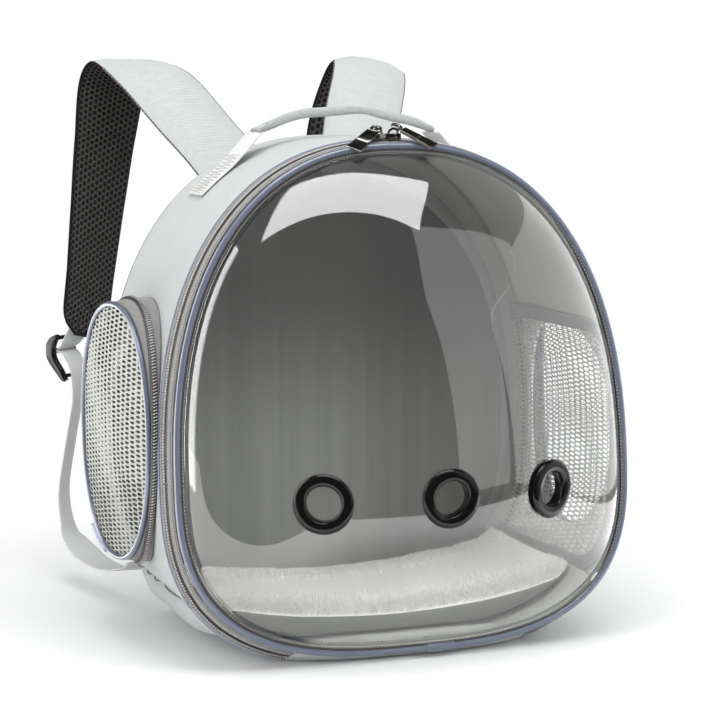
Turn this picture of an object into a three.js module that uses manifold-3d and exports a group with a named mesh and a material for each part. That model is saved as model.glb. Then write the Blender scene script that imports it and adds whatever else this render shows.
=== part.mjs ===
// Pet carrier backpack with a clear bubble door, two mesh side pockets and padded shoulder straps.
// Millimetres, +Z up, the door faces -Y, the wearer's back is on the +Y side.
import * as THREE from "three";
import { mergeVertices } from "three/addons/utils/BufferGeometryUtils.js";
import Module from "manifold-3d";

const wasm = await Module();
wasm.setup();
const { degToRad, lerp } = THREE.MathUtils;

// Driving dimensions
const GAP = 0.3;
const FLOOR_CLEARANCE = 0.2;
const DOOR = {
  halfWidth: 184, centreHeight: 145, rise: 248, drop: 138, topPower: 2.33, footPower: 2.85,
  lean: degToRad(5.8),
};
const RIM = { side: 7, top: 7, foot: 11, back: 24 };
const BACK = { side: 6, top: 3, foot: 11, y: 214 };
const WALL = 3;
const BASE = { pad: 10, seamTurn: degToRad(-34), seamGap: 0.0012 };
const BACK_PANEL = { thickness: 8, crown: 3, innerScale: 0.86 };
const PIPING = { radius: 2.8, sides: 6 };
const SLEEVE = { wall: 1.3, slack: 0.4, start: degToRad(-89.3), end: degToRad(-85.3), sides: 8 };
const DOME = { bulge: 82, flange: 8, wall: 2, rings: [0.07, 0.26, 0.45, 0.62, 0.78, 0.9, 1] };
const GROMMET = { spread: 91, height: 129, barrel: 14.4, segments: 16, holeDepth: 24 };
const GROMMET_PROFILE = [
  { radius: 13.2, height: -6.2 },
  { radius: 20, height: -6.2 },
  { radius: 20, height: -4.5 },
  { radius: 14.4, height: -4.4 },
  { radius: 14.4, height: 0.6 },
  { radius: 22.1, height: 0.4 },
  { radius: 22.5, height: 1.6 },
  { radius: 19, height: 4 },
  { radius: 15.2, height: 3.8 },
  { radius: 13.2, height: 2 },
];
const ZIP = { endTurn: degToRad(-67), hingeGap: 0.004, tape: 1.5, startSide: 3, startBack: 4.6 };
const COIL = { from: 0.44, to: 0.64, depth: 3, proud: 0.4 };
const SLIDER = {
  length: 11, width: 9, height: 4.5, bail: 4, bailWire: 1, bailStretch: 1.25, bailLean: degToRad(35),
  bailForward: 0.6, lift: 0.5,
};
const SLIDERS = [{ name: "zip_left", x: -11.5, swing: -1 }, { name: "zip_right", x: 1.5, swing: 1 }];
const PULL = { ring: 3.4, wire: 1, length: 32, topWidth: 6.4, footWidth: 9.6, thick: 1.8, corner: 1.5 };
const PULL_SEAT = { side: 2.8, front: -2, up: 8 };
const PULL_FALL = { side: 0.62, front: -0.66, up: -0.34 };
const PULL_FACE = { side: -0.45, front: -0.73, up: 0.9 };
const POCKET = {
  y: 123, z: 170, halfDepth: 77, halfHeight: 100, power: 2.2, front: 197, rear: 210, wall: 2, flare: 3,
  seat: 0.5,
};
const POCKET_PIPING = { radius: 2.1, sides: 6, inset: 1 };
const POCKET_MESH = { crown: 5, thickness: 1.4, innerScale: 0.4 };
const POCKET_ZIP = { half: 2, low: 0.6, lift: 2.2, start: degToRad(-80), end: degToRad(165) };
const POCKET_PULL = { start: degToRad(150), end: degToRad(167), width: 6.5, thick: 2, clear: 2.5 };
const OPENING = { y: 123, z: 170, halfDepth: 72, halfHeight: 95, power: 2.3, cutReach: 60 };
const WINDOW = {
  y: 127, z: 157, halfDepth: 74, halfHeight: 91, power: 4, offset: 0.9, sheet: 1.2, innerScale: 0.4,
  binding: 8, bindingProud: 0.4,
};
const MAT = { halfWidth: 150, front: 46, back: 209, thickness: 21, edge: 6, endPower: 6, seat: 0.9 };
const HANDLE = {
  y: 160, webbing: 38, webbingThick: 2, seat: 0.6,
  gripEnd: 76, gripEndHeight: 401, gripTop: 417, gripRadius: 6.5, gripFlat: 0.8,
};
const HANDLE_FOOT = [{ x: 120, lift: 0 }, { x: 110, lift: 0 }, { x: 98, lift: 3 }];
const HANDLE_KNEE = [{ x: 85.2, below: 12 }, { x: 76.2, below: 2 }];
const STRAP = { width: 68, thick: 11, round: 4 };
const WEBBING = { width: 25, thick: 2 };
const LOCK = { width: 34, foot: 30, top: 17, bottom: -21, slotHalf: 13, thick: 5, below: 22, outward: 5 };
const LOCK_SLOTS = [{ low: 2.5, high: 12.5 }, { low: -15.5, high: -3.5 }];

// How many stations each form is worked out at
const STEPS = {
  ring: 54, wrap: 43, base: 23, opening: 28, zip: 42, hinge: 12, dome: 42, pocket: 28, pocketZip: 22,
  window: 28, mat: 21, strap: 20, loop: 9, webbing: 30, handle: 10, grip: 17, gripRound: 8,
};

// Routes of the shoulder straps, drawn for the right side: yaw turns a band's width about the vertical
const STRAP_RISE = [
  { x: 43, y: 230.7, z: 318, yaw: 0 },
  { x: 55, y: 268, z: 363, yaw: 0 },
  { x: 77, y: 320, z: 405, yaw: 0 },
  { x: 101, y: 364, z: 443, yaw: 0 },
];
const STRAP_HANG = {
  left: [
    { x: 118, y: 391, z: 454, yaw: -4 },
    { x: 129, y: 407, z: 438, yaw: -12 },
    { x: 138, y: 411, z: 390, yaw: -24 },
    { x: 147, y: 407, z: 330, yaw: -32 },
    { x: 156, y: 401, z: 270, yaw: -38 },
    { x: 165, y: 394, z: 214, yaw: -40 },
  ],
  right: [
    { x: 110, y: 391, z: 454, yaw: -2 },
    { x: 107, y: 410, z: 438, yaw: -4 },
    { x: 96, y: 417, z: 390, yaw: -6 },
    { x: 94, y: 412, z: 330, yaw: -8 },
    { x: 98, y: 405, z: 270, yaw: -10 },
    { x: 104, y: 397, z: 214, yaw: -12 },
  ],
};

// Webbing at the ladder lock, measured from the lock's middle, then down to the foot of the back
const LOCK_LOOP_TOP = { left: 25.3, right: 26.4 };
const LOCK_LOOP = [
  { out: 4.6, up: 13.5 },
  { out: 0, up: 7.5 },
  { out: -4.8, up: 1.5 },
];
const LOCK_TRAIL = [
  { out: 6, up: 3 },
  { out: 4.5, up: -5 },
  { out: -1, up: -9.5 },
  { out: -5, up: -20 },
];
const WEBBING_TRAIL = [
  { x: 6, y: -8, z: 140 },
  { x: 12, y: -15, z: 95 },
  { x: 16, y: -34, z: 62 },
];
const WEBBING_END = [
  { x: 179, y: 322, z: 42, yaw: 15 },
  { x: 170, y: 272, z: 38, yaw: 12 },
  { x: 159, y: 238, z: 41, yaw: 4 },
  { x: 157, y: 221.8, z: 43, yaw: 0 },
];

// Finishes
const FINISH = {
  cloth: { color: 0xd3d6d5, roughness: 0.85, metalness: 0 },
  lining: { color: 0x6f7170, roughness: 0.9, metalness: 0 },
  tape: { color: 0xb9b4ae, roughness: 0.85, metalness: 0 },
  coil: { color: 0x5a5350, roughness: 0.6, metalness: 0 },
  piping: { color: 0x7c86a8, roughness: 0.35, metalness: 0 },
  clear: { color: 0xe8ecec, roughness: 0.05, metalness: 0, transparent: true, opacity: 0.3 },
  black: { color: 0x101010, roughness: 0.3, metalness: 0 },
  gunmetal: { color: 0x2b2826, roughness: 0.25, metalness: 1 },
  mesh: { color: 0xcdd0c6, roughness: 0.9, metalness: 0 },
  webbing: { color: 0xc2c4c3, roughness: 0.85, metalness: 0 },
  fleece: { color: 0xf2f1ec, roughness: 1, metalness: 0 },
};

const SIDES = [["left", -1], ["right", 1]];
const bag = new THREE.Group();

function addPiece(name, geometry, finish) {
  const mesh = new THREE.Mesh(geometry, new THREE.MeshStandardMaterial(finish));
  mesh.name = name;
  bag.add(mesh);
  return mesh;
}

// Solids from loops of points: neighbouring loops are joined, and open ends are closed in a zigzag
function solidFrom(points, faces) {
  let volume = 0;
  for (let i = 0; i < faces.length; i += 3) {
    const [a, b, c] = [points[faces[i]], points[faces[i + 1]], points[faces[i + 2]]];
    volume += a.dot(b.clone().cross(c));
  }
  const outward = volume > 0 ? faces : faces.toReversed();
  const geometry = new THREE.BufferGeometry();
  const positions = points.flatMap((point) => [point.x, point.y, point.z]);
  geometry.setAttribute("position", new THREE.Float32BufferAttribute(positions, 3));
  geometry.setIndex(outward);
  geometry.computeVertexNormals();
  return geometry;
}

function capFaces(start, count, flip) {
  const faces = [];
  for (let j = 0; j < count / 2 - 1; j += 1) {
    const [a, b, c, d] = [j, j + 1, count - 2 - j, count - 1 - j].map((k) => start + k);
    const pair = [a, c, b, a, d, c];
    faces.push(...(flip ? pair.toReversed() : pair));
  }
  return faces;
}

function loft(loops, closed = false) {
  const count = loops[0].length;
  const faces = [];
  const spans = closed ? loops.length : loops.length - 1;
  for (let i = 0; i < spans; i += 1) {
    const here = i * count;
    const next = ((i + 1) % loops.length) * count;
    for (let j = 0; j < count; j += 1) {
      const k = (j + 1) % count;
      faces.push(here + j, here + k, next + k, here + j, next + k, next + j);
    }
  }
  if (!closed) {
    faces.push(...capFaces(0, count, false));
    faces.push(...capFaces((loops.length - 1) * count, count, true));
  }
  return solidFrom(loops.flat(), faces);
}

// Booleans
function toManifold(geometry) {
  const bare = geometry.clone();
  bare.deleteAttribute("normal");
  bare.deleteAttribute("uv");
  const merged = mergeVertices(bare, 1e-4);
  const mesh = new wasm.Mesh({
    numProp: 3,
    vertProperties: new Float32Array(merged.attributes.position.array),
    triVerts: new Uint32Array(merged.index.array),
  });
  return new wasm.Manifold(mesh);
}

function fromManifold(solid) {
  const mesh = solid.getMesh();
  const result = new THREE.BufferGeometry();
  result.setAttribute("position", new THREE.BufferAttribute(mesh.vertProperties, 3));
  result.setIndex(new THREE.BufferAttribute(mesh.triVerts, 1));
  result.computeVertexNormals();
  return result;
}

function cut(geometry, tools) {
  return fromManifold(tools.reduce((left, tool) => left.subtract(toManifold(tool)), toManifold(geometry)));
}

function join(geometry, other) {
  return fromManifold(toManifold(geometry).add(toManifold(other)));
}

// Outlines
function bend(value, power) {
  return Math.sign(value) * Math.abs(value) ** (2 / power);
}

function doorOutline(turn, side, top = side, foot = side) {
  const up = Math.sin(turn) >= 0;
  const power = up ? DOOR.topPower : DOOR.footPower;
  const reach = up ? DOOR.rise + top : DOOR.drop + foot;
  const x = (DOOR.halfWidth + side) * bend(Math.cos(turn), power);
  const v = DOOR.centreHeight + reach * bend(Math.sin(turn), power);
  return { x, v };
}

function onDoorPlane(x, v, back) {
  const [sin, cos] = [Math.sin(DOOR.lean), Math.cos(DOOR.lean)];
  return new THREE.Vector3(x, v * sin + back * cos, v * cos - back * sin);
}

function stations(count, start = 0, end = 2 * Math.PI, closed = true) {
  const last = closed ? count : count - 1;
  return Array.from({ length: count }, (_, i) => lerp(start, end, i / last));
}

// Body wall: straight from the door's rim to the back panel, flattened where it stands
function bodyPoint(turn, depth, inset = 0) {
  const front = doorOutline(turn, RIM.side - inset, RIM.top - inset, RIM.foot - inset);
  const back = doorOutline(turn, BACK.side - inset, BACK.top - inset, BACK.foot - inset);
  const end = new THREE.Vector3(back.x, BACK.y, back.v);
  const point = onDoorPlane(front.x, front.v, RIM.back).lerp(end, depth);
  point.z = Math.max(point.z, inset);
  return point;
}

function bodyPointAt(turn, y, inset = 0) {
  const start = bodyPoint(turn, 0, inset);
  return bodyPoint(turn, (y - start.y) / (BACK.y - start.y), inset);
}

function bisect(measure, target, low, high) {
  const rising = measure(high) > measure(low);
  let [a, b] = [low, high];
  for (let i = 0; i < 40; i += 1) {
    const middle = (a + b) / 2;
    const below = measure(middle) < target;
    if (below === rising) {
      a = middle;
    } else {
      b = middle;
    }
  }
  return (a + b) / 2;
}

function sideReach(y, z, inset = 0) {
  const turn = bisect((t) => bodyPointAt(t, y, inset).z, z, degToRad(-60), degToRad(85));
  return bodyPointAt(turn, y, inset).x;
}

function topHeight(x, y) {
  const turn = bisect((t) => bodyPointAt(t, y).x, x, degToRad(5), degToRad(90));
  return bodyPointAt(turn, y).z;
}

function floorHeight(x) {
  const side = DOOR.halfWidth + BACK.side - BASE.pad;
  const foot = DOOR.drop + BACK.foot - BASE.pad;
  const curve = (1 - (Math.abs(x) / side) ** DOOR.footPower) ** (1 / DOOR.footPower);
  return Math.max(BASE.pad, DOOR.centreHeight - foot * curve);
}

function bodyBand(startTurn, endTurn, count, wall) {
  const depths = [0, 0.33, 0.67, 1];
  const loops = stations(count, startTurn, endTurn, false).map((turn) => [
    ...depths.map((depth) => bodyPoint(turn, depth)),
    ...depths.toReversed().map((depth) => bodyPoint(turn, depth, wall)),
  ]);
  return loft(loops);
}

function ovalRim(shape, angle, grow) {
  return {
    y: shape.y - (shape.halfDepth + grow) * bend(Math.cos(angle), shape.power),
    z: shape.z + (shape.halfHeight + grow) * bend(Math.sin(angle), shape.power),
  };
}

function openingCutter(side) {
  const loopAt = (x) => stations(STEPS.opening).map((angle) => {
    const { y, z } = ovalRim(OPENING, angle, 0);
    return new THREE.Vector3(side * x, y, z);
  });
  return loft([loopAt(DOOR.halfWidth - OPENING.cutReach), loopAt(DOOR.halfWidth + OPENING.cutReach)]);
}

function makeBody() {
  const { pad, seamTurn, seamGap } = BASE;
  const [right, left] = [seamTurn, Math.PI - seamTurn];
  const wrap = bodyBand(right + seamGap, left - seamGap, STEPS.wrap, WALL);
  addPiece("body_wrap", cut(wrap, [openingCutter(-1), openingCutter(1)]), FINISH.cloth);
  const base = bodyBand(left + seamGap, 2 * Math.PI + right - seamGap, STEPS.base, pad);
  addPiece("base_panel", base, FINISH.cloth);
}

function makeBackPanel() {
  const loopAt = (y, scale) => stations(STEPS.ring).map((turn) => {
    const edge = bodyPoint(turn, 1);
    const z = DOOR.centreHeight + scale * (edge.z - DOOR.centreHeight);
    return new THREE.Vector3(scale * edge.x, y, z);
  });
  const inside = BACK.y + GAP;
  const loops = [
    loopAt(inside, 1),
    loopAt(inside + BACK_PANEL.thickness - BACK_PANEL.crown, 1),
    loopAt(inside + BACK_PANEL.thickness, BACK_PANEL.innerScale),
  ];
  addPiece("back_panel", loft(loops), FINISH.lining);
}

// Door: zip band, piping, clear dome and grommets
function zipPoint(turn, across, lift) {
  const outline = doorOutline(
    turn,
    lerp(ZIP.startSide, RIM.side, across) + lift,
    lerp(ZIP.startSide, RIM.top, across) + lift,
    lerp(ZIP.startSide, RIM.foot, across) + lift,
  );
  const point = onDoorPlane(outline.x, outline.v, lerp(ZIP.startBack, RIM.back - GAP, across));
  point.z = Math.max(point.z, FLOOR_CLEARANCE + Math.max(lift, 0));
  return point;
}

function zipStrip(from, to, bottom, top, startTurn, endTurn, count) {
  const loops = stations(count, startTurn, endTurn, false).map((turn) => [
    zipPoint(turn, from, top),
    zipPoint(turn, to, top),
    zipPoint(turn, to, bottom),
    zipPoint(turn, from, bottom),
  ]);
  return loft(loops);
}

function makeZip() {
  const [start, end] = [ZIP.endTurn, Math.PI - ZIP.endTurn];
  const gap = GAP / (RIM.back - ZIP.startBack);
  const { from: coilFrom, to: coilTo, depth, proud } = COIL;
  const strips = [
    { name: "zip_tape_door", from: 0, to: coilFrom - gap, bottom: -ZIP.tape, top: 0, finish: FINISH.tape },
    { name: "zip_coil", from: coilFrom, to: coilTo, bottom: -depth, top: proud, finish: FINISH.coil },
    { name: "zip_tape_body", from: coilTo + gap, to: 1, bottom: -ZIP.tape, top: 0, finish: FINISH.tape },
  ];
  for (const { name, from, to, bottom, top, finish } of strips) {
    addPiece(name, zipStrip(from, to, bottom, top, start, end, STEPS.zip), finish);
  }
  const [hingeStart, hingeEnd] = [end + ZIP.hingeGap, 2 * Math.PI + start - ZIP.hingeGap];
  const hinge = zipStrip(0, 1, -ZIP.tape, 0, hingeStart, hingeEnd, STEPS.hinge);
  addPiece("door_hinge_strip", hinge, FINISH.cloth);
}

function tubeSection(pointAt, turn, facing, radius, sides) {
  const step = 0.02;
  const centre = pointAt(turn);
  const along = pointAt(turn + step).sub(pointAt(turn - step)).normalize();
  const side = along.clone().cross(facing).normalize();
  const up = side.clone().cross(along).normalize();
  return stations(sides).map((angle) => centre.clone()
    .addScaledVector(side, radius * Math.cos(angle))
    .addScaledVector(up, radius * Math.sin(angle)));
}

function closedTube(pointAt, count, facing, radius, sides) {
  return loft(stations(count).map((turn) => tubeSection(pointAt, turn, facing, radius, sides)), true);
}

const doorFacing = onDoorPlane(0, 0, -1);

function pipingCentre(turn) {
  const { x, v } = doorOutline(turn, 0);
  return onDoorPlane(x, v, 0);
}

function makePiping() {
  const piping = closedTube(pipingCentre, STEPS.ring, doorFacing, PIPING.radius, PIPING.sides);
  addPiece("door_piping", piping, FINISH.piping);
  const { start, end, sides } = SLEEVE;
  const [inner, outer] = [PIPING.radius + SLEEVE.slack, PIPING.radius + SLEEVE.wall];
  const loopAt = (turn, radius) => tubeSection(pipingCentre, turn, doorFacing, radius, sides);
  const loops = [loopAt(start, outer), loopAt(end, outer), loopAt(end, inner), loopAt(start, inner)];
  addPiece("piping_sleeve", loft(loops, true), FINISH.piping);
}

const domeInset = PIPING.radius + SLEEVE.wall + DOME.flange;

function domeBulge(x, v) {
  const up = v >= DOOR.centreHeight;
  const power = up ? DOOR.topPower : DOOR.footPower;
  const reach = (up ? DOOR.rise : DOOR.drop) - domeInset;
  const across = Math.abs(x) / (DOOR.halfWidth - domeInset);
  const along = Math.abs(v - DOOR.centreHeight) / reach;
  const radius = (across ** power + along ** power) ** (1 / power);
  return DOME.bulge * Math.max(0, 1 - radius ** 2);
}

function domePoint(turn, scale, wall) {
  const edge = doorOutline(turn, -domeInset);
  const x = scale * edge.x;
  const v = lerp(DOOR.centreHeight, edge.v, scale);
  return onDoorPlane(x, v, wall - domeBulge(x, v));
}

function grommetSeat(x, v) {
  const step = 4;
  const slopeX = (domeBulge(x + step, v) - domeBulge(x - step, v)) / (2 * step);
  const slopeV = (domeBulge(x, v + step) - domeBulge(x, v - step)) / (2 * step);
  const seat = onDoorPlane(x, v, -domeBulge(x, v));
  const normal = onDoorPlane(-slopeX, -slopeV, -1).normalize();
  return { seat, turn: new THREE.Quaternion().setFromUnitVectors(new THREE.Vector3(0, 1, 0), normal) };
}

function makeDome() {
  const ring = (scale, wall) => stations(STEPS.dome).map((turn) => domePoint(turn, scale, wall));
  const rim = (back) => stations(STEPS.dome).map((turn) => {
    const { x, v } = doorOutline(turn, -PIPING.radius - SLEEVE.wall - GAP);
    return onDoorPlane(x, v, back);
  });
  const loops = [
    ...DOME.rings.map((scale) => ring(scale, 0)),
    rim(0),
    rim(DOME.wall),
    ...DOME.rings.toReversed().map((scale) => ring(scale, DOME.wall)),
  ];
  const seats = [-1, 0, 1].map((place) => grommetSeat(place * GROMMET.spread, GROMMET.height));
  const holes = seats.map(({ seat, turn }) => {
    const radius = GROMMET.barrel + GAP;
    const hole = new THREE.CylinderGeometry(radius, radius, GROMMET.holeDepth, GROMMET.segments);
    return hole.applyQuaternion(turn).translate(seat.x, seat.y, seat.z);
  });
  addPiece("clear_dome", cut(loft(loops), holes), FINISH.clear);
  ["left", "middle", "right"].forEach((place, i) => {
    const grommet = addPiece(`grommet_${place}`, grommetGeometry(), FINISH.black);
    grommet.position.copy(seats[i].seat);
    grommet.quaternion.copy(seats[i].turn);
  });
}

function grommetGeometry() {
  const profile = GROMMET_PROFILE.map(({ radius, height }) => new THREE.Vector2(radius, height));
  return new THREE.LatheGeometry([...profile, profile[0].clone()], GROMMET.segments);
}

// Turns a piece so that its -Y runs along a direction and its +Z faces out
function aim(piece, root, direction, facing) {
  const up = direction.clone().negate().normalize();
  const across = up.clone().cross(facing).normalize();
  const out = across.clone().cross(up);
  piece.quaternion.setFromRotationMatrix(new THREE.Matrix4().makeBasis(across, up, out));
  piece.position.copy(root);
}

// Zip sliders with their pulls, lying over the top of the door
function pullGeometry() {
  const [top, foot, corner] = [PULL.topWidth / 2, PULL.footWidth / 2, PULL.corner];
  const tab = new THREE.Shape();
  tab.moveTo(-top, -PULL.ring);
  tab.lineTo(top, -PULL.ring);
  tab.lineTo(foot, corner - PULL.length);
  tab.lineTo(foot - corner, -PULL.length);
  tab.lineTo(corner - foot, -PULL.length);
  tab.lineTo(-foot, corner - PULL.length);
  tab.closePath();
  const plate = new THREE.ExtrudeGeometry(tab, { depth: PULL.thick, bevelEnabled: false });
  plate.translate(0, 0, -PULL.thick / 2);
  return join(plate, new THREE.TorusGeometry(PULL.ring, PULL.wire, 5, 10));
}

function makeSlider(name, x, swing) {
  const middle = (COIL.from + COIL.to) / 2;
  const turn = bisect((t) => zipPoint(t, middle, 0).x, x, degToRad(70), degToRad(110));
  const top = zipPoint(turn, middle, COIL.proud + SLIDER.lift);
  const block = new THREE.BoxGeometry(SLIDER.length, SLIDER.width, SLIDER.height);
  block.translate(0, 0, SLIDER.height / 2);
  const bail = new THREE.TorusGeometry(SLIDER.bail, SLIDER.bailWire, 5, 10);
  bail.scale(1, SLIDER.bailStretch, 1);
  bail.rotateX(Math.PI / 2 + SLIDER.bailLean);
  bail.translate(0, -SLIDER.bailForward, SLIDER.height);
  const slider = addPiece(`${name}_slider`, join(block, bail), FINISH.gunmetal);
  slider.position.copy(top);
  const pull = addPiece(`${name}_pull`, pullGeometry(), FINISH.gunmetal);
  const toSide = ({ side, front, up }) => new THREE.Vector3(swing * side, front, up);
  aim(pull, top.clone().add(toSide(PULL_SEAT)), toSide(PULL_FALL), toSide(PULL_FACE));
}

// Side pockets
function pocketFaceReach(y) {
  const share = (y - POCKET.y) / (2 * POCKET.halfDepth) + 0.5;
  return lerp(POCKET.front, POCKET.rear, share);
}

function pocketPoint(side, angle, grow, raise) {
  const { y, z } = ovalRim(POCKET, angle, grow);
  const wall = sideReach(y, z) + POCKET.seat;
  const face = pocketFaceReach(y) - POCKET_PIPING.radius - GAP;
  return new THREE.Vector3(side * lerp(wall, face, raise), y, z);
}

function pocketFacePoint(side, angle, grow, lift) {
  const { y, z } = ovalRim(POCKET, angle, grow);
  return new THREE.Vector3(side * (pocketFaceReach(y) + lift), y, z);
}

function makePocket(place, side) {
  const { flare, wall } = POCKET;
  const gusset = stations(STEPS.pocket).map((angle) => [
    pocketPoint(side, angle, flare, 0),
    pocketPoint(side, angle, 0, 1),
    pocketPoint(side, angle, -wall, 1),
    pocketPoint(side, angle, flare - wall, 0),
  ]);
  addPiece(`pocket_gusset_${place}`, loft(gusset, true), FINISH.tape);

  const { half, low, lift, start, end } = POCKET_ZIP;
  const coil = stations(STEPS.pocketZip, start, end, false).map((angle) => {
    const length = Math.abs(pocketPoint(side, angle, 0, 1).x - pocketPoint(side, angle, flare, 0).x);
    const share = half / length;
    const at = (raise, out) => pocketPoint(side, angle, flare * (1 - raise) + out, raise);
    return [at(0.5 - share, low), at(0.5 - share, lift), at(0.5 + share, lift), at(0.5 + share, low)];
  });
  addPiece(`pocket_zip_${place}`, loft(coil), FINISH.coil);

  const pipingAt = (angle) => pocketFacePoint(side, angle, -POCKET_PIPING.inset, 0);
  const facing = new THREE.Vector3(side, 0, 0);
  const piping = closedTube(pipingAt, STEPS.pocket, facing, POCKET_PIPING.radius, POCKET_PIPING.sides);
  addPiece(`pocket_piping_${place}`, piping, FINISH.piping);
  makePocketMesh(place, side);
  makePocketPull(place, side);
}

function makePocketMesh(place, side) {
  const { crown, thickness, innerScale } = POCKET_MESH;
  const edge = -POCKET_PIPING.inset - POCKET_PIPING.radius - GAP;
  const ring = (scale, lift) => stations(STEPS.pocket).map((angle) => {
    const rim = pocketFacePoint(side, angle, edge, 0);
    const y = lerp(POCKET.y, rim.y, scale);
    const reach = pocketFaceReach(y) + crown * (1 - scale ** 2) + lift;
    return new THREE.Vector3(side * reach, y, lerp(POCKET.z, rim.z, scale));
  });
  const loops = [ring(innerScale, 0), ring(1, 0), ring(1, -thickness), ring(innerScale, -thickness)];
  addPiece(`pocket_mesh_${place}`, loft(loops), FINISH.mesh);
}

function makePocketPull(place, side) {
  const { start, end, width, thick, clear } = POCKET_PULL;
  const outward = POCKET_ZIP.lift + GAP + thick / 2 + clear;
  const [top, foot] = [start, end].map((angle) => pocketPoint(side, angle, outward, 0.5));
  const length = top.distanceTo(foot);
  const tab = new THREE.BoxGeometry(width, length, thick);
  tab.translate(0, -length / 2, 0);
  const pull = addPiece(`pocket_pull_${place}`, tab, FINISH.gunmetal);
  aim(pull, top, foot.clone().sub(top), new THREE.Vector3(0, 1, 0.4));
}

// Mesh window over the inside of the wall's opening, with a binding round it
function makeWindow(place, side) {
  const inside = (y, z, inset) => new THREE.Vector3(side * sideReach(y, z, WALL + inset), y, z);
  const { offset, innerScale, binding, bindingProud } = WINDOW;
  const [near, far] = [offset, offset + WINDOW.sheet];
  const sheet = (scale, inset) => stations(STEPS.window).map((angle) => {
    const rim = ovalRim(WINDOW, angle, -GAP);
    return inside(lerp(WINDOW.y, rim.y, scale), lerp(WINDOW.z, rim.z, scale), inset);
  });
  const loops = [sheet(innerScale, near), sheet(1, near), sheet(1, far), sheet(innerScale, far)];
  addPiece(`window_mesh_${place}`, loft(loops), FINISH.mesh);

  const ring = (grow, inset) => stations(STEPS.window).map((angle) => {
    const { y, z } = ovalRim(WINDOW, angle, grow);
    return inside(y, z, inset);
  });
  const proud = far + bindingProud;
  const frame = [ring(0, near), ring(binding, near), ring(binding, proud), ring(0, proud)];
  addPiece(`window_binding_${place}`, loft(frame, true), FINISH.lining);
}

// Fleece mat on the floor, curling up with the rounded corners
function makeMat() {
  const { halfWidth, front, back, thickness, edge, endPower, seat } = MAT;
  const loops = stations(STEPS.mat, -halfWidth, halfWidth, false).map((x) => {
    const low = floorHeight(x) + seat;
    const high = low + thickness - edge * (Math.abs(x) / halfWidth) ** endPower;
    return [
      new THREE.Vector3(x, front + edge, low),
      new THREE.Vector3(x, front, lerp(low, high, 0.5)),
      new THREE.Vector3(x, front + edge, high),
      new THREE.Vector3(x, back - edge, high),
      new THREE.Vector3(x, back, lerp(low, high, 0.5)),
      new THREE.Vector3(x, back - edge, low),
    ];
  });
  addPiece("fleece_mat", loft(loops), FINISH.fleece);
}

// Flat bands along a curve: a rounded section, its width set by a yaw that changes along the way
function bandLoops(rows, side, count, width, thick, round) {
  const curve = new THREE.CatmullRomCurve3(rows.map(({ x, y, z }) => new THREE.Vector3(side * x, y, z)));
  return stations(count, 0, 1, false).map((share) => {
    const place = share * (rows.length - 1);
    const row = Math.min(Math.floor(place), rows.length - 2);
    const yaw = side * degToRad(lerp(rows[row].yaw, rows[row + 1].yaw, place - row));
    const along = curve.getTangent(share);
    const across = new THREE.Vector3(Math.cos(yaw), Math.sin(yaw), 0);
    across.addScaledVector(along, -across.dot(along)).normalize();
    const up = along.clone().cross(across).normalize();
    const centre = curve.getPoint(share);
    return bandSection(width, thick, round).map(([a, b]) => centre.clone()
      .addScaledVector(across, a)
      .addScaledVector(up, b));
  });
}

function bandSection(width, thick, round) {
  const [w, t] = [width / 2, thick / 2];
  const corner = Math.min(round, t);
  if (corner === 0) {
    return [[-w, -t], [w, -t], [w, t], [-w, t]];
  }
  return [
    [-w + corner, -t], [w - corner, -t], [w, -t + corner], [w, t - corner],
    [w - corner, t], [-w + corner, t], [-w, t - corner], [-w, -t + corner],
  ];
}

// Shoulder straps: sewn to the back panel, rising behind it to a crest, then hanging to a ladder lock
function makeStrap(place, side) {
  const rows = [...STRAP_RISE, ...STRAP_HANG[place]];
  const strap = bandLoops(rows, side, STEPS.strap, STRAP.width, STRAP.thick, STRAP.round);
  addPiece(`strap_${place}`, loft(strap), FINISH.cloth);

  const end = rows.at(-1);
  const seat = { x: end.x + LOCK.outward, y: end.y, z: end.z - STRAP.thick / 2 - LOCK.below };
  const yaw = degToRad(end.yaw);
  const lockPoint = ({ out, up }) => ({
    x: seat.x + out * Math.sin(yaw), y: seat.y - out * Math.cos(yaw), z: seat.z + up, yaw: end.yaw,
  });
  makeLadderLock(place, side, seat, yaw);

  const loopRows = [{ ...LOCK_LOOP[0], up: LOCK_LOOP_TOP[place] }, ...LOCK_LOOP].map(lockPoint);
  const loop = bandLoops(loopRows, side, STEPS.loop, WEBBING.width, WEBBING.thick, 0);
  addPiece(`strap_loop_${place}`, loft(loop), FINISH.webbing);

  const trail = [
    ...LOCK_TRAIL.map(lockPoint),
    ...WEBBING_TRAIL.map(({ x, y, z }) => ({ x: seat.x + x, y: seat.y + y, z, yaw: end.yaw })),
    ...WEBBING_END,
  ];
  const webbing = bandLoops(trail, side, STEPS.webbing, WEBBING.width, WEBBING.thick, 0);
  addPiece(`strap_webbing_${place}`, loft(webbing), FINISH.webbing);
}

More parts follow.
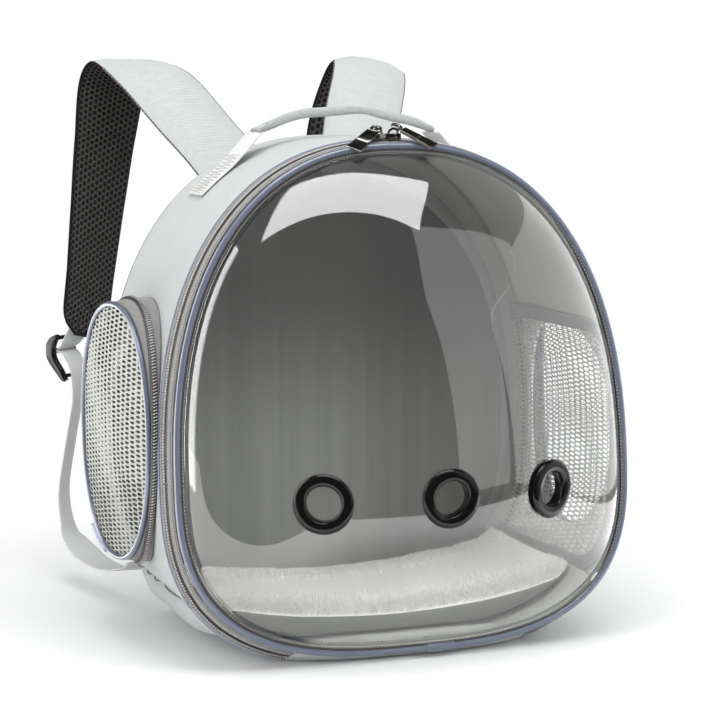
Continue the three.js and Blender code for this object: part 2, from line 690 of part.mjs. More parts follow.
function makeLadderLock(place, side, seat, yaw) {
  const frame = new THREE.Shape();
  frame.moveTo(-LOCK.width / 2, LOCK.top);
  frame.lineTo(LOCK.width / 2, LOCK.top);
  frame.lineTo(LOCK.foot / 2, LOCK.bottom);
  frame.lineTo(-LOCK.foot / 2, LOCK.bottom);
  frame.closePath();
  for (const { low, high } of LOCK_SLOTS) {
    const slot = new THREE.Path();
    slot.moveTo(-LOCK.slotHalf, low);
    slot.lineTo(LOCK.slotHalf, low);
    slot.lineTo(LOCK.slotHalf, high);
    slot.lineTo(-LOCK.slotHalf, high);
    slot.closePath();
    frame.holes.push(slot);
  }
  const lock = new THREE.ExtrudeGeometry(frame, { depth: LOCK.thick, bevelEnabled: false });
  lock.translate(0, 0, -LOCK.thick / 2);
  const piece = addPiece(`ladder_lock_${place}`, lock, FINISH.black);
  const facing = new THREE.Vector3(side * Math.sin(yaw), -Math.cos(yaw), 0);
  aim(piece, new THREE.Vector3(side * seat.x, seat.y, seat.z), new THREE.Vector3(0, 0, -1), facing);
}

// Carry handle: wide webbing sewn on both shoulders and rolled to a grip between them
function makeHandle() {
  const { y, webbing, webbingThick, seat, gripEnd, gripEndHeight, gripTop, gripRadius, gripFlat } = HANDLE;
  const off = webbingThick / 2 + seat;
  const rows = [
    ...HANDLE_FOOT.map(({ x, lift }) => ({ x, z: topHeight(x, y) + off + lift })),
    ...HANDLE_KNEE.map(({ x, below }) => ({ x, z: gripEndHeight - below })),
  ].map((row) => ({ ...row, y, yaw: 90 }));
  for (const [place, side] of SIDES) {
    const band = bandLoops(rows, side, STEPS.handle, webbing, webbingThick, 0);
    addPiece(`handle_webbing_${place}`, loft(band), FINISH.webbing);
  }
  const loops = stations(STEPS.grip, -gripEnd, gripEnd, false).map((x) => {
    const share = x / gripEnd;
    const z = lerp(gripTop, gripEndHeight, share ** 2);
    const slope = (-2 * (gripTop - gripEndHeight) * share) / gripEnd;
    const up = new THREE.Vector3(-slope, 0, 1).normalize();
    return stations(STEPS.gripRound).map((angle) => new THREE.Vector3(x, y, z)
      .addScaledVector(new THREE.Vector3(0, 1, 0), gripRadius * Math.cos(angle))
      .addScaledVector(up, gripFlat * gripRadius * Math.sin(angle)));
  });
  addPiece("handle_grip", loft(loops), FINISH.cloth);
}

makeBody();
makeBackPanel();
makeZip();
makePiping();
makeDome();
for (const { name, x, swing } of SLIDERS) {
  makeSlider(name, x, swing);
}
makeMat();
makeHandle();
for (const [place, side] of SIDES) {
  makePocket(place, side);
  makeWindow(place, side);
  makeStrap(place, side);
}

// The origin is under the middle of the whole object, on the floor
const box = new THREE.Box3().setFromObject(bag, true);
bag.position.y = -(box.min.y + box.max.y) / 2;

export default bag;
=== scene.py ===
"""Dresses a pet carrier backpack: cloth body, clear bubble door, mesh pockets, fleece mat and straps."""

from __future__ import annotations

import logging
import math
from dataclasses import dataclass
from enum import Enum
from functools import cached_property, lru_cache
from typing import Callable, ClassVar, Iterable, Sequence

import bmesh
import bpy
import numpy as np
from mathutils import Matrix, Quaternion, Vector, noise


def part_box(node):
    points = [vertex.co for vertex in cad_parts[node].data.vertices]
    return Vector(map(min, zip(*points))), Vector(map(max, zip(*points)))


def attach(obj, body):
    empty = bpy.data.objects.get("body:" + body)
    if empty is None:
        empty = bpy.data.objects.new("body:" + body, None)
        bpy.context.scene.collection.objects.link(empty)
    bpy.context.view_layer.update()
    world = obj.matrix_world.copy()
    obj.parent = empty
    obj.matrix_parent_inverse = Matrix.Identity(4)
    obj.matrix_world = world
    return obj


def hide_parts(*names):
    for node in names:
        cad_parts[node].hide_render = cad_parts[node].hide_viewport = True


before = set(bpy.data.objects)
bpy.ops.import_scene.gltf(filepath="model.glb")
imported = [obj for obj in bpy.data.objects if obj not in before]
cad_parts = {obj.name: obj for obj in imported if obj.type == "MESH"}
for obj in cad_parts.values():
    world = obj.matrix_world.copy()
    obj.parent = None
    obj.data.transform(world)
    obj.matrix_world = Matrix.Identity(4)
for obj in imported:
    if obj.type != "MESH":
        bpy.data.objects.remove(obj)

LOG = logging.getLogger("carrier")
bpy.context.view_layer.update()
BODY = "root"
MM = 0.001
GAP = 0.3 * MM
WEAVE_UV = "weave"
SEED = 7
SIDE_FROM = 0.12
WHITE = (1, 1, 1, 1)

Triple = tuple[float, float, float]
Colour = Triple
Place = Callable[[float, float], Vector]
Spot = tuple[Vector, Vector]
Path = Callable[[float], Spot]
Socket = bpy.types.NodeSocket
Shape = bmesh.types.BMesh
Piece = bpy.types.Object
Face = bpy.types.MeshPolygon


class Side(Enum):
    """A side of the carrier, as someone who faces its door sees it, with the sign of x there."""

    LEFT = -1.0
    RIGHT = 1.0

    @property
    def label(self) -> str:
        """The side's name in the names of pieces."""
        return self.name.lower()


def lerp(start: float, end: float, share: float) -> float:
    """The value at a share of the way from start to end."""
    return start + (end - start) * share


def ease(value: float) -> float:
    """A smooth step from 0 to 1."""
    value = min(1.0, max(0.0, value))
    return value * value * (3 - 2 * value)


def bend(value: float, power: float) -> float:
    """A cosine or sine bent to a superellipse of that power."""
    return math.copysign(abs(value) ** (2 / power), value)


def bell(distance: float, reach: float) -> float:
    """A soft bump that is 1 in its middle and fades out round its reach."""
    return math.exp(-((distance / reach) ** 2))


def held(share: float, first: float, last: float) -> float:
    """How free cloth is between two sewn edges, 0 at both and 1 past these shares from them."""
    return ease(share / first) * ease((1 - share) / last)


def section(share: float, across_power: float, up_power: float) -> tuple[float, float]:
    """A point of a rounded section at a share round it, from -1 to 1 across and up."""
    angle = share * math.tau
    return bend(math.cos(angle), across_power), bend(math.sin(angle), up_power)


def shell(share: float) -> tuple[bool, float]:
    """Whether a share round a shell is on its outside, and how far along the shell it is."""
    outside = share < 0.5
    return outside, share * 2 if outside else 2 - share * 2


@dataclass(frozen=True)
class Ripple:
    """Uneven waves of cloth: how close they lie along three measures, and how high they are."""

    scale: Triple
    height: float
    start: Triple = (0.0, 0.0, 0.0)

    def at(self, *place: float) -> float:
        """The wave's height at a place."""
        spot = Vector([value * scale for value, scale in zip(place, self.scale)])
        return noise.noise(spot + Vector(self.start)) * self.height


# Form of the carrier


@dataclass(frozen=True)
class Ring:
    """How far a ring of the body lies outside the door's outline, and how far behind its plane."""

    side: float
    top: float
    foot: float
    back: float


@dataclass(frozen=True)
class CarrierForm:
    """The body's outline and surfaces, in metres, with y counted from the door's foot."""

    half_width: float = 0.184
    centre: float = 0.145
    rise: float = 0.248
    drop: float = 0.138
    top_power: float = 2.33
    foot_power: float = 2.85
    lean: float = math.radians(5.8)
    rim: Ring = Ring(0.007, 0.007, 0.011, 0.024)
    rear: Ring = Ring(0.006, 0.003, 0.011, 0.214)
    zip_start: Ring = Ring(0.003, 0.003, 0.003, 0.0046)
    bulge: float = 0.082
    dome_inset: float = 0.0121
    dome_edge: float = 0.0058
    shoulder: float = 0.27
    floor_pad: float = 0.010

    @cached_property
    def shift(self) -> float:
        """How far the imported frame's y lies from this form's y."""
        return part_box("back_panel")[0].y - self.rear.back - GAP

    def at(self, x: float, y: float, z: float) -> Vector:
        """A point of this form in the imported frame."""
        return Vector((x, y + self.shift, z))

    def outline(self, turn: float, side: float, top: float, foot: float) -> tuple[float, float]:
        """The door's outline, grown.

        Args:
            turn: Angle round the outline, from the right side over the top.
            side: Growth at the sides.
            top: Growth at the top.
            foot: Growth at the foot.

        Returns:
            The place across the door and up its plane.
        """
        up = math.sin(turn) >= 0
        power = self.top_power if up else self.foot_power
        reach = self.rise + top if up else self.drop + foot
        x = (self.half_width + side) * bend(math.cos(turn), power)
        return x, self.centre + reach * bend(math.sin(turn), power)

    def door(self, x: float, v: float, back: float) -> Vector:
        """A point at x and v on the leaning door plane, and so far behind it."""
        sin, cos = math.sin(self.lean), math.cos(self.lean)
        return self.at(x, v * sin + back * cos, v * cos - back * sin)

    @property
    def facing(self) -> Vector:
        """The way that the door faces."""
        return Vector((0, -math.cos(self.lean), math.sin(self.lean)))

    def door_ring(self, turn: float, grow: float, back: float) -> Vector:
        """A point of the door's outline, grown evenly."""
        x, v = self.outline(turn, grow, grow, grow)
        return self.door(x, v, back)

    def wall(self, turn: float, depth: float, inset: float = 0.0) -> Vector:
        """A point of the body's wall, from the door's rim at depth 0 to the back at depth 1.

        Args:
            turn: Angle round the outline.
            depth: Share of the way from the rim to the back.
            inset: How far inside the cloth's outside.

        Returns:
            The point.
        """
        rim, rear = self.rim, self.rear
        x, v = self.outline(turn, rim.side - inset, rim.top - inset, rim.foot - inset)
        front = self.door(x, v, rim.back)
        x, v = self.outline(turn, rear.side - inset, rear.top - inset, rear.foot - inset)
        point = front.lerp(self.at(x, rear.back, v), depth)
        point.z = max(point.z, inset)
        return point

    def wall_out(self, turn: float, depth: float) -> Vector:
        """The wall's outward normal.

        Args:
            turn: Angle round the outline.
            depth: Share of the way from the rim to the back.

        Returns:
            A unit vector.
        """
        step = 0.01
        along = self.wall(turn + step, depth) - self.wall(turn - step, depth)
        across = self.wall(turn, depth + step) - self.wall(turn, depth - step)
        return along.cross(across).normalized() * -1

    def wall_at(self, turn: float, y: float, inset: float = 0.0) -> Vector:
        """A point of the wall at a given y."""
        start = self.wall(turn, 0, inset).y - self.shift
        return self.wall(turn, (y - start) / (self.rear.back - start), inset)

    def side_reach(self, y: float, z: float, inset: float = 0.0) -> float:
        """The wall's distance from the middle at a height on the side.

        Args:
            y: Place from front to back.
            z: Height.
            inset: How far inside the cloth's outside.

        Returns:
            The distance.
        """
        depths, heights, reaches = side_table(inset)
        place = np.interp(y, depths, np.arange(len(depths)))
        row = min(int(place), len(depths) - 2)
        near = np.interp(z, heights[row], reaches[row])
        far = np.interp(z, heights[row + 1], reaches[row + 1])
        return float(lerp(near, far, place - row))

    def top_height(self, x: float, y: float) -> float:
        """The wall's height over a place on the top."""
        turn = bisect(lambda t: self.wall_at(t, y).x, abs(x), math.radians(5), math.radians(90))
        return self.wall_at(turn, y).z

    def floor(self, x: float) -> float:
        """The height of the padded floor inside.

        Args:
            x: Place across the floor.

        Returns:
            The height.
        """
        side = self.half_width + self.rear.side - self.floor_pad
        foot = self.drop + self.rear.foot - self.floor_pad
        curve = (1 - (abs(x) / side) ** self.foot_power) ** (1 / self.foot_power)
        return max(self.floor_pad, self.centre - foot * curve)

    def zip(self, turn: float, across: float, lift: float) -> Vector:
        """A point of the zip band, from the door's edge at 0 to the body's edge at 1.

        Args:
            turn: Angle round the outline.
            across: Share of the way over the band.
            lift: Height over the band.

        Returns:
            The point.
        """
        start, rim = self.zip_start, self.rim
        x, v = self.outline(
            turn,
            lerp(start.side, rim.side, across) + lift,
            lerp(start.top, rim.top, across) + lift,
            lerp(start.foot, rim.foot, across) + lift,
        )
        point = self.door(x, v, lerp(start.back, rim.back - GAP, across))
        point.z = max(point.z, 0.2 * MM + max(lift, 0.0))
        return point

    def dome_radius(self, x: float, v: float, inset: float) -> float:
        """How far out a place on the bubble lies, 1 at an outline that lies so far inside the door's.

        Args:
            x: Place across the door.
            v: Place up the door's plane.
            inset: How far inside the door's outline.

        Returns:
            The radius.
        """
        up = v >= self.centre
        edge_power = self.top_power if up else self.foot_power
        a = abs(x) / (self.half_width - inset)
        b = abs(v - self.centre) / ((self.rise if up else self.drop) - inset)
        rough = (a**edge_power + b**edge_power) ** (1 / edge_power)
        power = 2 + (edge_power - 2) * rough * rough
        return (a**power + b**power) ** (1 / power)

    def dome_height(self, x: float, v: float) -> float:
        """How far the bubble stands out of the door's plane, rising steeply from its edge.

        Args:
            x: Place across the door.
            v: Place up the door's plane.

        Returns:
            The height.
        """
        middle = self.dome_radius(x, v, self.dome_inset)
        steep = ease((middle - 0.55) / 0.45)
        radius = lerp(middle, self.dome_radius(x, v, self.dome_edge), steep)
        return self.bulge * max(0.0, 1 - radius * radius) ** (1 - self.shoulder * steep)

    def dome(self, turn: float, scale: float, wall: float) -> Vector:
        """A point of the bubble, from its middle at scale 0 to its edge at 1.

        Args:
            turn: Angle round the outline.
            scale: Share of the way to the edge.
            wall: How far inside the bubble's outside.

        Returns:
            The point.
        """
        x, v = self.outline(turn, -self.dome_edge, -self.dome_edge, -self.dome_edge)
        x, v = x * scale, lerp(self.centre, v, scale)
        height = self.dome_height(x, v) if scale < 1 else 0.0
        return self.door(x, v, wall - height)

    def dome_seat(self, x: float, v: float) -> Matrix:
        """A frame on the bubble's outside, its z axis along the normal.

        Args:
            x: Place across the door.
            v: Place up the door's plane.

        Returns:
            The frame.
        """
        step = 0.004
        slope_x = (self.dome_height(x + step, v) - self.dome_height(x - step, v)) / (2 * step)
        slope_v = (self.dome_height(x, v + step) - self.dome_height(x, v - step)) / (2 * step)
        normal = self.door(-slope_x, -slope_v, -1) - self.door(0, 0, 0)
        turn = normal.to_track_quat("Z", "Y").to_matrix().to_4x4()
        return Matrix.Translation(self.door(x, v, -self.dome_height(x, v))) @ turn


def bisect(measure: Callable[[float], float], target: float, low: float, high: float) -> float:
    """Where a steadily changing measure meets a target.

    Args:
        measure: What is measured.
        target: The value that it has to reach.
        low: Start of the search.
        high: End of the search.

    Returns:
        The place between low and high.
    """
    rising = measure(high) > measure(low)
    for _ in range(32):
        middle = (low + high) / 2
        if (measure(middle) < target) == rising:
            low = middle
        else:
            high = middle
    return (low + high) / 2


FORM = CarrierForm()


@lru_cache(maxsize=None)
def side_table(inset: float) -> tuple[np.ndarray, np.ndarray, np.ndarray]:
    """Heights and reaches of the side wall, row by row from the door to the back.

    Args:
        inset: How far inside the cloth's outside.

    Returns:
        The rows' depths, and the heights and reaches of each row.
    """
    depths = np.linspace(0.03, FORM.rear.back, 28)
    turns = np.radians(np.linspace(-60, 85, 120))
    points = [[FORM.wall_at(turn, y, inset) for turn in turns] for y in depths]
    heights = np.array([[point.z for point in row] for row in points])
    return depths, heights, np.array([[point.x for point in row] for row in points])


# Mesh making


def grid(
    columns: int,
    rows: int,
    place: Place,
    size: tuple[float, float] = (1.0, 1.0),
    close_columns: bool = False,
    close_rows: bool = False,
) -> Shape:
    """A sheet of quads laid out by a function.

    Args:
        columns: Faces along the first share.
        rows: Faces along the second share.
        place: The point at two shares from 0 to 1.
        size: Width and length of the cloth, for the weave's UV map.
        close_columns: Whether the first share runs round to its start.
        close_rows: Whether the second share runs round to its start.

    Returns:
        The sheet, with its meeting edges and poles merged.
    """
    bm = bmesh.new()
    uv = bm.loops.layers.uv.new(WEAVE_UV)
    bmesh.ops.create_grid(bm, x_segments=columns, y_segments=rows, size=0.5)
    shares = {vert: (vert.co.x + 0.5, vert.co.y + 0.5) for vert in bm.verts}
    for face in bm.faces:
        for loop in face.loops:
            u, v = shares[loop.vert]
            loop[uv].uv = (u * size[0], v * size[1])
    for vert, (u, v) in shares.items():
        vert.co = place(u % 1.0 if close_columns else u, v % 1.0 if close_rows else v)
    bmesh.ops.remove_doubles(bm, verts=bm.verts, dist=1e-6)
    bmesh.ops.dissolve_degenerate(bm, edges=bm.edges, dist=1e-7)
    return bm


def tube(
    columns: int,
    around: int,
    place: Place,
    size: tuple[float, float] = (1.0, 1.0),
    closed: bool = False,
) -> Shape:
    """A closed skin round a long form.

    Args:
        columns: Faces along the form.
        around: Faces round its section.
        place: The point at a share along the form and a share round the section.
        size: Length and girth, for the weave's UV map.
        closed: Whether the form runs round to its start; otherwise its ends are capped.

    Returns:
        The skin with its faces pointing out.
    """
    bm = grid(columns, around, place, size, closed, True)
    if not closed:
        open_edges = [edge for edge in bm.edges if edge.is_boundary]
        bmesh.ops.holes_fill(bm, edges=open_edges, sides=0)
    bmesh.ops.recalc_face_normals(bm, faces=bm.faces)
    return bm


def cord_skin(path: Path, radius: float, columns: int, around: int, closed: bool = False) -> Shape:
    """A round tube along a path of points and normals.

    Args:
        path: The point and the normal at a share of the way.
        radius: Half the cord's thickness.
        columns: Faces along the cord.
        around: Faces round it.
        closed: Whether it runs round to its start.

    Returns:
        The tube.
    """

    def place(u: float, v: float) -> Vector:
        """A point of the tube's skin."""
        here, normal = path(u)
        step = 0.002
        along = path((u + step) % 1.0 if closed else min(1.0, u + step))[0]
        along = (along - path((u - step) % 1.0 if closed else max(0.0, u - step))[0]).normalized()
        side = along.cross(normal).normalized()
        up = side.cross(along)
        angle = v * math.tau
        return here + side * (radius * math.cos(angle)) + up * (radius * math.sin(angle))

    length = sum((path((i + 1) / 40)[0] - path(i / 40)[0]).length for i in range(40))
    return tube(columns, around, place, (length, math.tau * radius), closed)


def spaced(path: Path, pitch: float, samples: int = 500) -> list[Matrix]:
    """Frames at an even pitch along a path, x along it and z along its normal.

    Args:
        path: The point and the normal at a share of the way.
        pitch: Distance between frames.
        samples: How finely the path is measured.

    Returns:
        The frames.
    """
    shares = np.linspace(0, 1, samples + 1)
    points = [path(share)[0] for share in shares]
    steps = [(b - a).length for a, b in zip(points, points[1:])]
    travelled = np.concatenate(([0.0], np.cumsum(steps)))
    count = max(1, round(travelled[-1] / pitch))
    places = np.interp((np.arange(count) + 0.5) * travelled[-1] / count, travelled, shares)
    frames = []
    for share in places:
        here, normal = path(share)
        step = 0.5 / samples
        along = (path(min(1, share + step))[0] - path(max(0, share - step))[0]).normalized()
        side = normal.cross(along).normalized()
        turn = Matrix((along, side, along.cross(side))).transposed().to_4x4()
        frames.append(Matrix.Translation(here) @ turn)
    return frames


def tile(template: Shape, frames: Sequence[Matrix]) -> bpy.types.Mesh:
    """One mesh of many copies of a small shape.

    Args:
        template: The shape, which is freed.
        frames: Where each copy goes.

    Returns:
        The joined mesh.
    """
    corners = np.array([[*vert.co, 1.0] for vert in template.verts])
    template.verts.index_update()
    faces = [[vert.index for vert in face.verts] for face in template.faces]
    template.free()
    stacked = np.einsum("nij,vj->nvi", np.array([np.array(m) for m in frames]), corners)[..., :3]
    count = len(corners)
    mesh = bpy.data.meshes.new("tiled")
    joined = [[index + copy * count for index in face] for copy in range(len(frames)) for face in faces]
    mesh.from_pydata(stacked.reshape(-1, 3).tolist(), [], joined)
    return mesh


def bead(length: float, width: float, height: float) -> Shape:
    """A small rounded bead, such as a stitch, lying along x.

    Args:
        length: Size along x.
        width: Size along y.
        height: Size along z.

    Returns:
        The bead.
    """
    bm = bmesh.new()
    bmesh.ops.create_icosphere(bm, subdivisions=1, radius=0.5)
    bmesh.ops.scale(bm, vec=(length, width, height), verts=bm.verts)
    return bm


def spun(profile: Sequence[tuple[float, float]], steps: int) -> Shape:
    """A ring turned round z from a closed profile of radius and height.

    Args:
        profile: The profile's corners.
        steps: Faces round the ring.

    Returns:
        The ring.
    """
    bm = bmesh.new()
    verts = [bm.verts.new((radius, 0, height)) for radius, height in profile]
    edges = [bm.edges.new((a, b)) for a, b in zip(verts, verts[1:] + verts[:1])]
    bmesh.ops.spin(
        bm, geom=verts + edges, cent=(0, 0, 0), axis=(0, 0, 1), angle=math.tau, steps=steps, use_merge=True
    )
    bmesh.ops.remove_doubles(bm, verts=bm.verts, dist=1e-6)
    bmesh.ops.recalc_face_normals(bm, faces=bm.faces)
    return bm


def torus(radius: float, wire: float, steps: int = 28, around: int = 12) -> Shape:
    """A wire ring round z."""
    angles = [math.tau * i / around for i in range(around)]
    return spun([(radius + wire * math.cos(a), wire * math.sin(a)) for a in angles], steps)


def joined(parts: Iterable[Shape]) -> Shape:
    """Several shapes in one bmesh; the parts are freed.

    Args:
        parts: The shapes.

    Returns:
        The whole.
    """
    whole = bmesh.new()
    for part in parts:
        mesh = bpy.data.meshes.new("part")
        part.to_mesh(mesh)
        part.free()
        whole.from_mesh(mesh)
        bpy.data.meshes.remove(mesh)
    return whole


def moved(bm: Shape, matrix: Matrix) -> Shape:
    """The same shape after a transform."""
    bmesh.ops.transform(bm, matrix=matrix, verts=bm.verts)
    return bm


def add_piece(
    name: str,
    shape: Shape | bpy.types.Mesh,
    finish: Finish,
    stands_for: Sequence[str] = (),
) -> Piece:
    """Makes a piece of the carrier.

    Args:
        name: Its name.
        shape: A bmesh, which is freed, or a mesh.
        finish: What it is made of.
        stands_for: The solids that it replaces.

    Returns:
        The object, riding on the carrier.
    """
    if isinstance(shape, Shape):
        mesh = bpy.data.meshes.new(name)
        shape.to_mesh(mesh)
        shape.free()
    else:
        mesh = shape
        mesh.name = name
    mesh.polygons.foreach_set("use_smooth", np.ones(len(mesh.polygons), bool))
    mesh.update()
    mesh.materials.append(finish.material())
    piece = bpy.data.objects.new(name, mesh)
    bpy.context.scene.collection.objects.link(piece)
    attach(piece, BODY)
    if stands_for:
        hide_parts(*stands_for)
    LOG.info("%s: %d faces", name, len(mesh.polygons))
    return piece


def repaint(piece: Piece, finish: Finish, chosen: Callable[[Face], bool]) -> None:
    """Gives the chosen faces of a piece another finish.

    Args:
        piece: The piece.
        finish: The other finish.
        chosen: Whether a face gets it.
    """
    index = len(piece.data.materials)
    piece.data.materials.append(finish.material())
    for face in piece.data.polygons:
        if chosen(face):
            face.material_index = index


def apply_modifiers(piece: Piece) -> None:
    """Bakes a piece's modifiers into its mesh.

    Args:
        piece: The piece.
    """
    graph = bpy.context.evaluated_depsgraph_get()
    mesh = bpy.data.meshes.new_from_object(piece.evaluated_get(graph))
    old = piece.data
    piece.modifiers.clear()
    piece.data = mesh
    bpy.data.meshes.remove(old)


def cut_away(piece: Piece, tools: Iterable[Shape]) -> None:
    """Cuts closed shapes out of a piece.

    Args:
        piece: The piece.
        tools: The shapes, which are freed.
    """
    for shape in tools:
        mesh = bpy.data.meshes.new("cutter")
        shape.to_mesh(mesh)
        shape.free()
        cutter = bpy.data.objects.new("cutter", mesh)
        bpy.context.scene.collection.objects.link(cutter)
        cut = piece.modifiers.new("cut", "BOOLEAN")
        cut.operation = "DIFFERENCE"
        cut.solver = "EXACT"
        cut.object = cutter
        apply_modifiers(piece)
        bpy.data.objects.remove(cutter)
        bpy.data.meshes.remove(mesh)


# Finishes


class Graph:
    """A node tree with short ways to add and link nodes."""

    def __init__(self, tree: bpy.types.NodeTree) -> None:
        """Keeps the tree."""
        self.tree = tree

    def add(self, kind: str, inputs: dict | None = None, **settings: object) -> bpy.types.Node:
        """Adds a node.

        Args:
            kind: The node's type.
            inputs: Values or sockets for its inputs, by name or number.
            **settings: Properties of the node.

        Returns:
            The node.
        """
        node = self.tree.nodes.new(kind)
        for key, value in settings.items():
            setattr(node, key, value)
        for key, value in (inputs or {}).items():
            if isinstance(value, Socket):
                self.tree.links.new(value, node.inputs[key])
            else:
                node.inputs[key].default_value = value
        return node

    def math(self, operation: str, *values: float | Socket) -> Socket:
        """A Math node's result."""
        return self.add("ShaderNodeMath", dict(enumerate(values)), operation=operation).outputs[0]

    def mix(self, share: float | Socket, first: object, second: object, blend: str = "MIX") -> Socket:
        """A colour mix's result.

        Args:
            share: How much of the second there is.
            first: A colour or a socket.
            second: A colour or a socket.
            blend: How they mix.

        Returns:
            The mixed colour.
        """
        return self.add(
            "ShaderNodeMix", {0: share, 6: first, 7: second}, data_type="RGBA", blend_type=blend
        ).outputs[2]

    def either(self, share: Socket, first: Socket, second: Socket) -> Socket:
        """A shader mix's result."""
        return self.add("ShaderNodeMixShader", {0: share, 1: first, 2: second}).outputs[0]

    def principled(self, inputs: dict) -> Socket:
        """A Principled shader's result."""
        return self.add("ShaderNodeBsdfPrincipled", inputs).outputs[0]

    def smooth(
        self, value: Socket, start: float, end: float, first: float = 0.0, last: float = 1.0
    ) -> Socket:
        """A smooth way from first, where the value is at start, to last at end."""
        steps = {"Value": value, "From Min": start, "From Max": end, "To Min": first, "To Max": last}
        return self.add("ShaderNodeMapRange", steps, interpolation_type="SMOOTHSTEP").outputs[0]


def new_group(name: str, inputs: dict[str, str], outputs: dict[str, str]) -> tuple[Graph, dict, dict]:
    """A shader node group with named sockets.

    Args:
        name: The group's name.
        inputs: Socket types by input name.
        outputs: Socket types by output name.

    Returns:
        Its graph, its input sockets, and the sockets that its outputs are linked to.
    """
    tree = bpy.data.node_groups.new(name, "ShaderNodeTree")
    for way, sockets in (("INPUT", inputs), ("OUTPUT", outputs)):
        for label, kind in sockets.items():
            tree.interface.new_socket(name=label, in_out=way, socket_type=f"NodeSocket{kind}")
    graph = Graph(tree)
    source = graph.add("NodeGroupInput").outputs
    target = graph.add("NodeGroupOutput").inputs
    return graph, {label: source[label] for label in inputs}, {label: target[label] for label in outputs}


def weave_group() -> bpy.types.NodeTree:
    """Threads over and under each other, from a plain weave at slant 0 to a twill at slant 1.

    Returns:
        The group, made once.
    """
    found = bpy.data.node_groups.get("weave")
    if found:
        return found
    graph, given, put = new_group(
        "weave",
        {"Vector": "Vector", "Pitch": "Float", "Stretch": "Float", "Slant": "Float"},
        {"Height": "Float", "Shade": "Float"},
    )
    wobble = graph.add("ShaderNodeTexNoise", {"Vector": given["Vector"], "Scale": 260.0, "Detail": 2.0})
    parts = graph.add("ShaderNodeSeparateXYZ", {0: given["Vector"]}).outputs
    turns = graph.math("DIVIDE", math.tau, given["Pitch"])
    jitter = graph.math("MULTIPLY", wobble.outputs[0], 2.2)
    x = graph.math("ADD", graph.math("MULTIPLY", parts[0], turns), jitter)
    y = graph.math("MULTIPLY", graph.math("MULTIPLY", parts[1], turns), given["Stretch"])
    plain = graph.math("MULTIPLY", graph.math("SINE", x), graph.math("SINE", y))
    twill = graph.math("SINE", graph.math("ADD", x, y))
    blend = graph.add("ShaderNodeMix", {0: given["Slant"], 2: plain, 3: twill}, data_type="FLOAT").outputs[0]
    height = graph.math("MULTIPLY_ADD", blend, 0.5, 0.5)
    shade = graph.math("MULTIPLY_ADD", graph.math("SUBTRACT", wobble.outputs[0], 0.5), 0.7, height)
    graph.tree.links.new(height, put["Height"])
    graph.tree.links.new(shade, put["Shade"])
    return graph.tree


def mottle_group() -> bpy.types.NodeTree:
    """Slow changes of tone and relief over a surface.

    Returns:
        The group, made once.
    """
    found = bpy.data.node_groups.get("mottle")
    if found:
        return found
    graph, given, put = new_group(
        "mottle",
        {"Vector": "Vector", "Scale": "Float", "Amount": "Float"},
        {"Tone": "Float", "Relief": "Float"},
    )
    inputs = {"Vector": given["Vector"], "Scale": given["Scale"], "Detail": 4.0}
    wide = graph.add("ShaderNodeTexNoise", inputs)
    centred = graph.math("SUBTRACT", wide.outputs[0], 0.5)
    tone = graph.math("MULTIPLY_ADD", centred, given["Amount"], 1.0)
    graph.tree.links.new(tone, put["Tone"])
    graph.tree.links.new(wide.outputs[0], put["Relief"])
    return graph.tree


class Coords(Enum):
    """Where a pattern takes its place from."""

    UV = "uv"
    OBJECT = "object"


@dataclass(frozen=True)
class Finish:
    """What a piece is made of."""

    name: str
    slot: str

    def material(self) -> bpy.types.Material:
        """The material, made once.

        Returns:
            The material with its nodes.
        """
        found = bpy.data.materials.get(self.name)
        if found:
            return found
        material = bpy.data.materials.new(self.name)
        material.use_nodes = True
        material.node_tree.nodes.clear()
        graph = Graph(material.node_tree)
        out = graph.add("ShaderNodeOutputMaterial")
        graph.tree.links.new(self.surface(graph), out.inputs["Surface"])
        return material

    def surface(self, graph: Graph) -> Socket:
        """The shader; each kind of finish has its own."""
        raise NotImplementedError

    @staticmethod
    def coords(graph: Graph, kind: Coords) -> Socket:
        """The coordinates that a pattern reads.

        Args:
            graph: The material's graph.
            kind: Which coordinates.

        Returns:
            Their socket.
        """
        if kind is Coords.UV:
            return graph.add("ShaderNodeUVMap", uv_map=WEAVE_UV).outputs[0]
        return graph.add("ShaderNodeTexCoord").outputs["Object"]

    def mottled(
        self, graph: Graph, scale: float, amount: float, streak: Triple = (1.0, 1.0, 1.0)
    ) -> bpy.types.Node:
        """The shared group of slow changes, at a scale, an amount and a stretch along each axis.

        Args:
            graph: The material's graph.
            scale: How fine the changes are.
            amount: How strong they are.
            streak: Their stretch along each axis.

        Returns:
            The group's node.
        """
        place = self.coords(graph, Coords.OBJECT)
        place = graph.add("ShaderNodeVectorMath", {0: place, 1: streak}, operation="MULTIPLY").outputs[0]
        inputs = {"Vector": place, "Scale": scale, "Amount": amount}
        return graph.add("ShaderNodeGroup", inputs, node_tree=mottle_group())


@dataclass(frozen=True)
class Fade:
    """Painted shade: a slow change of tone along one axis of the model, where light falls off over a
    surface.
    """

    axis: int
    start: float
    end: float
    first: float
    last: float

    def tone(self, graph: Graph, place: Socket) -> Socket:
        """The painted shade's factor at a place."""
        along = graph.add("ShaderNodeSeparateXYZ", {0: place}).outputs[self.axis]
        return graph.smooth(along, self.start, self.end, self.first, self.last)


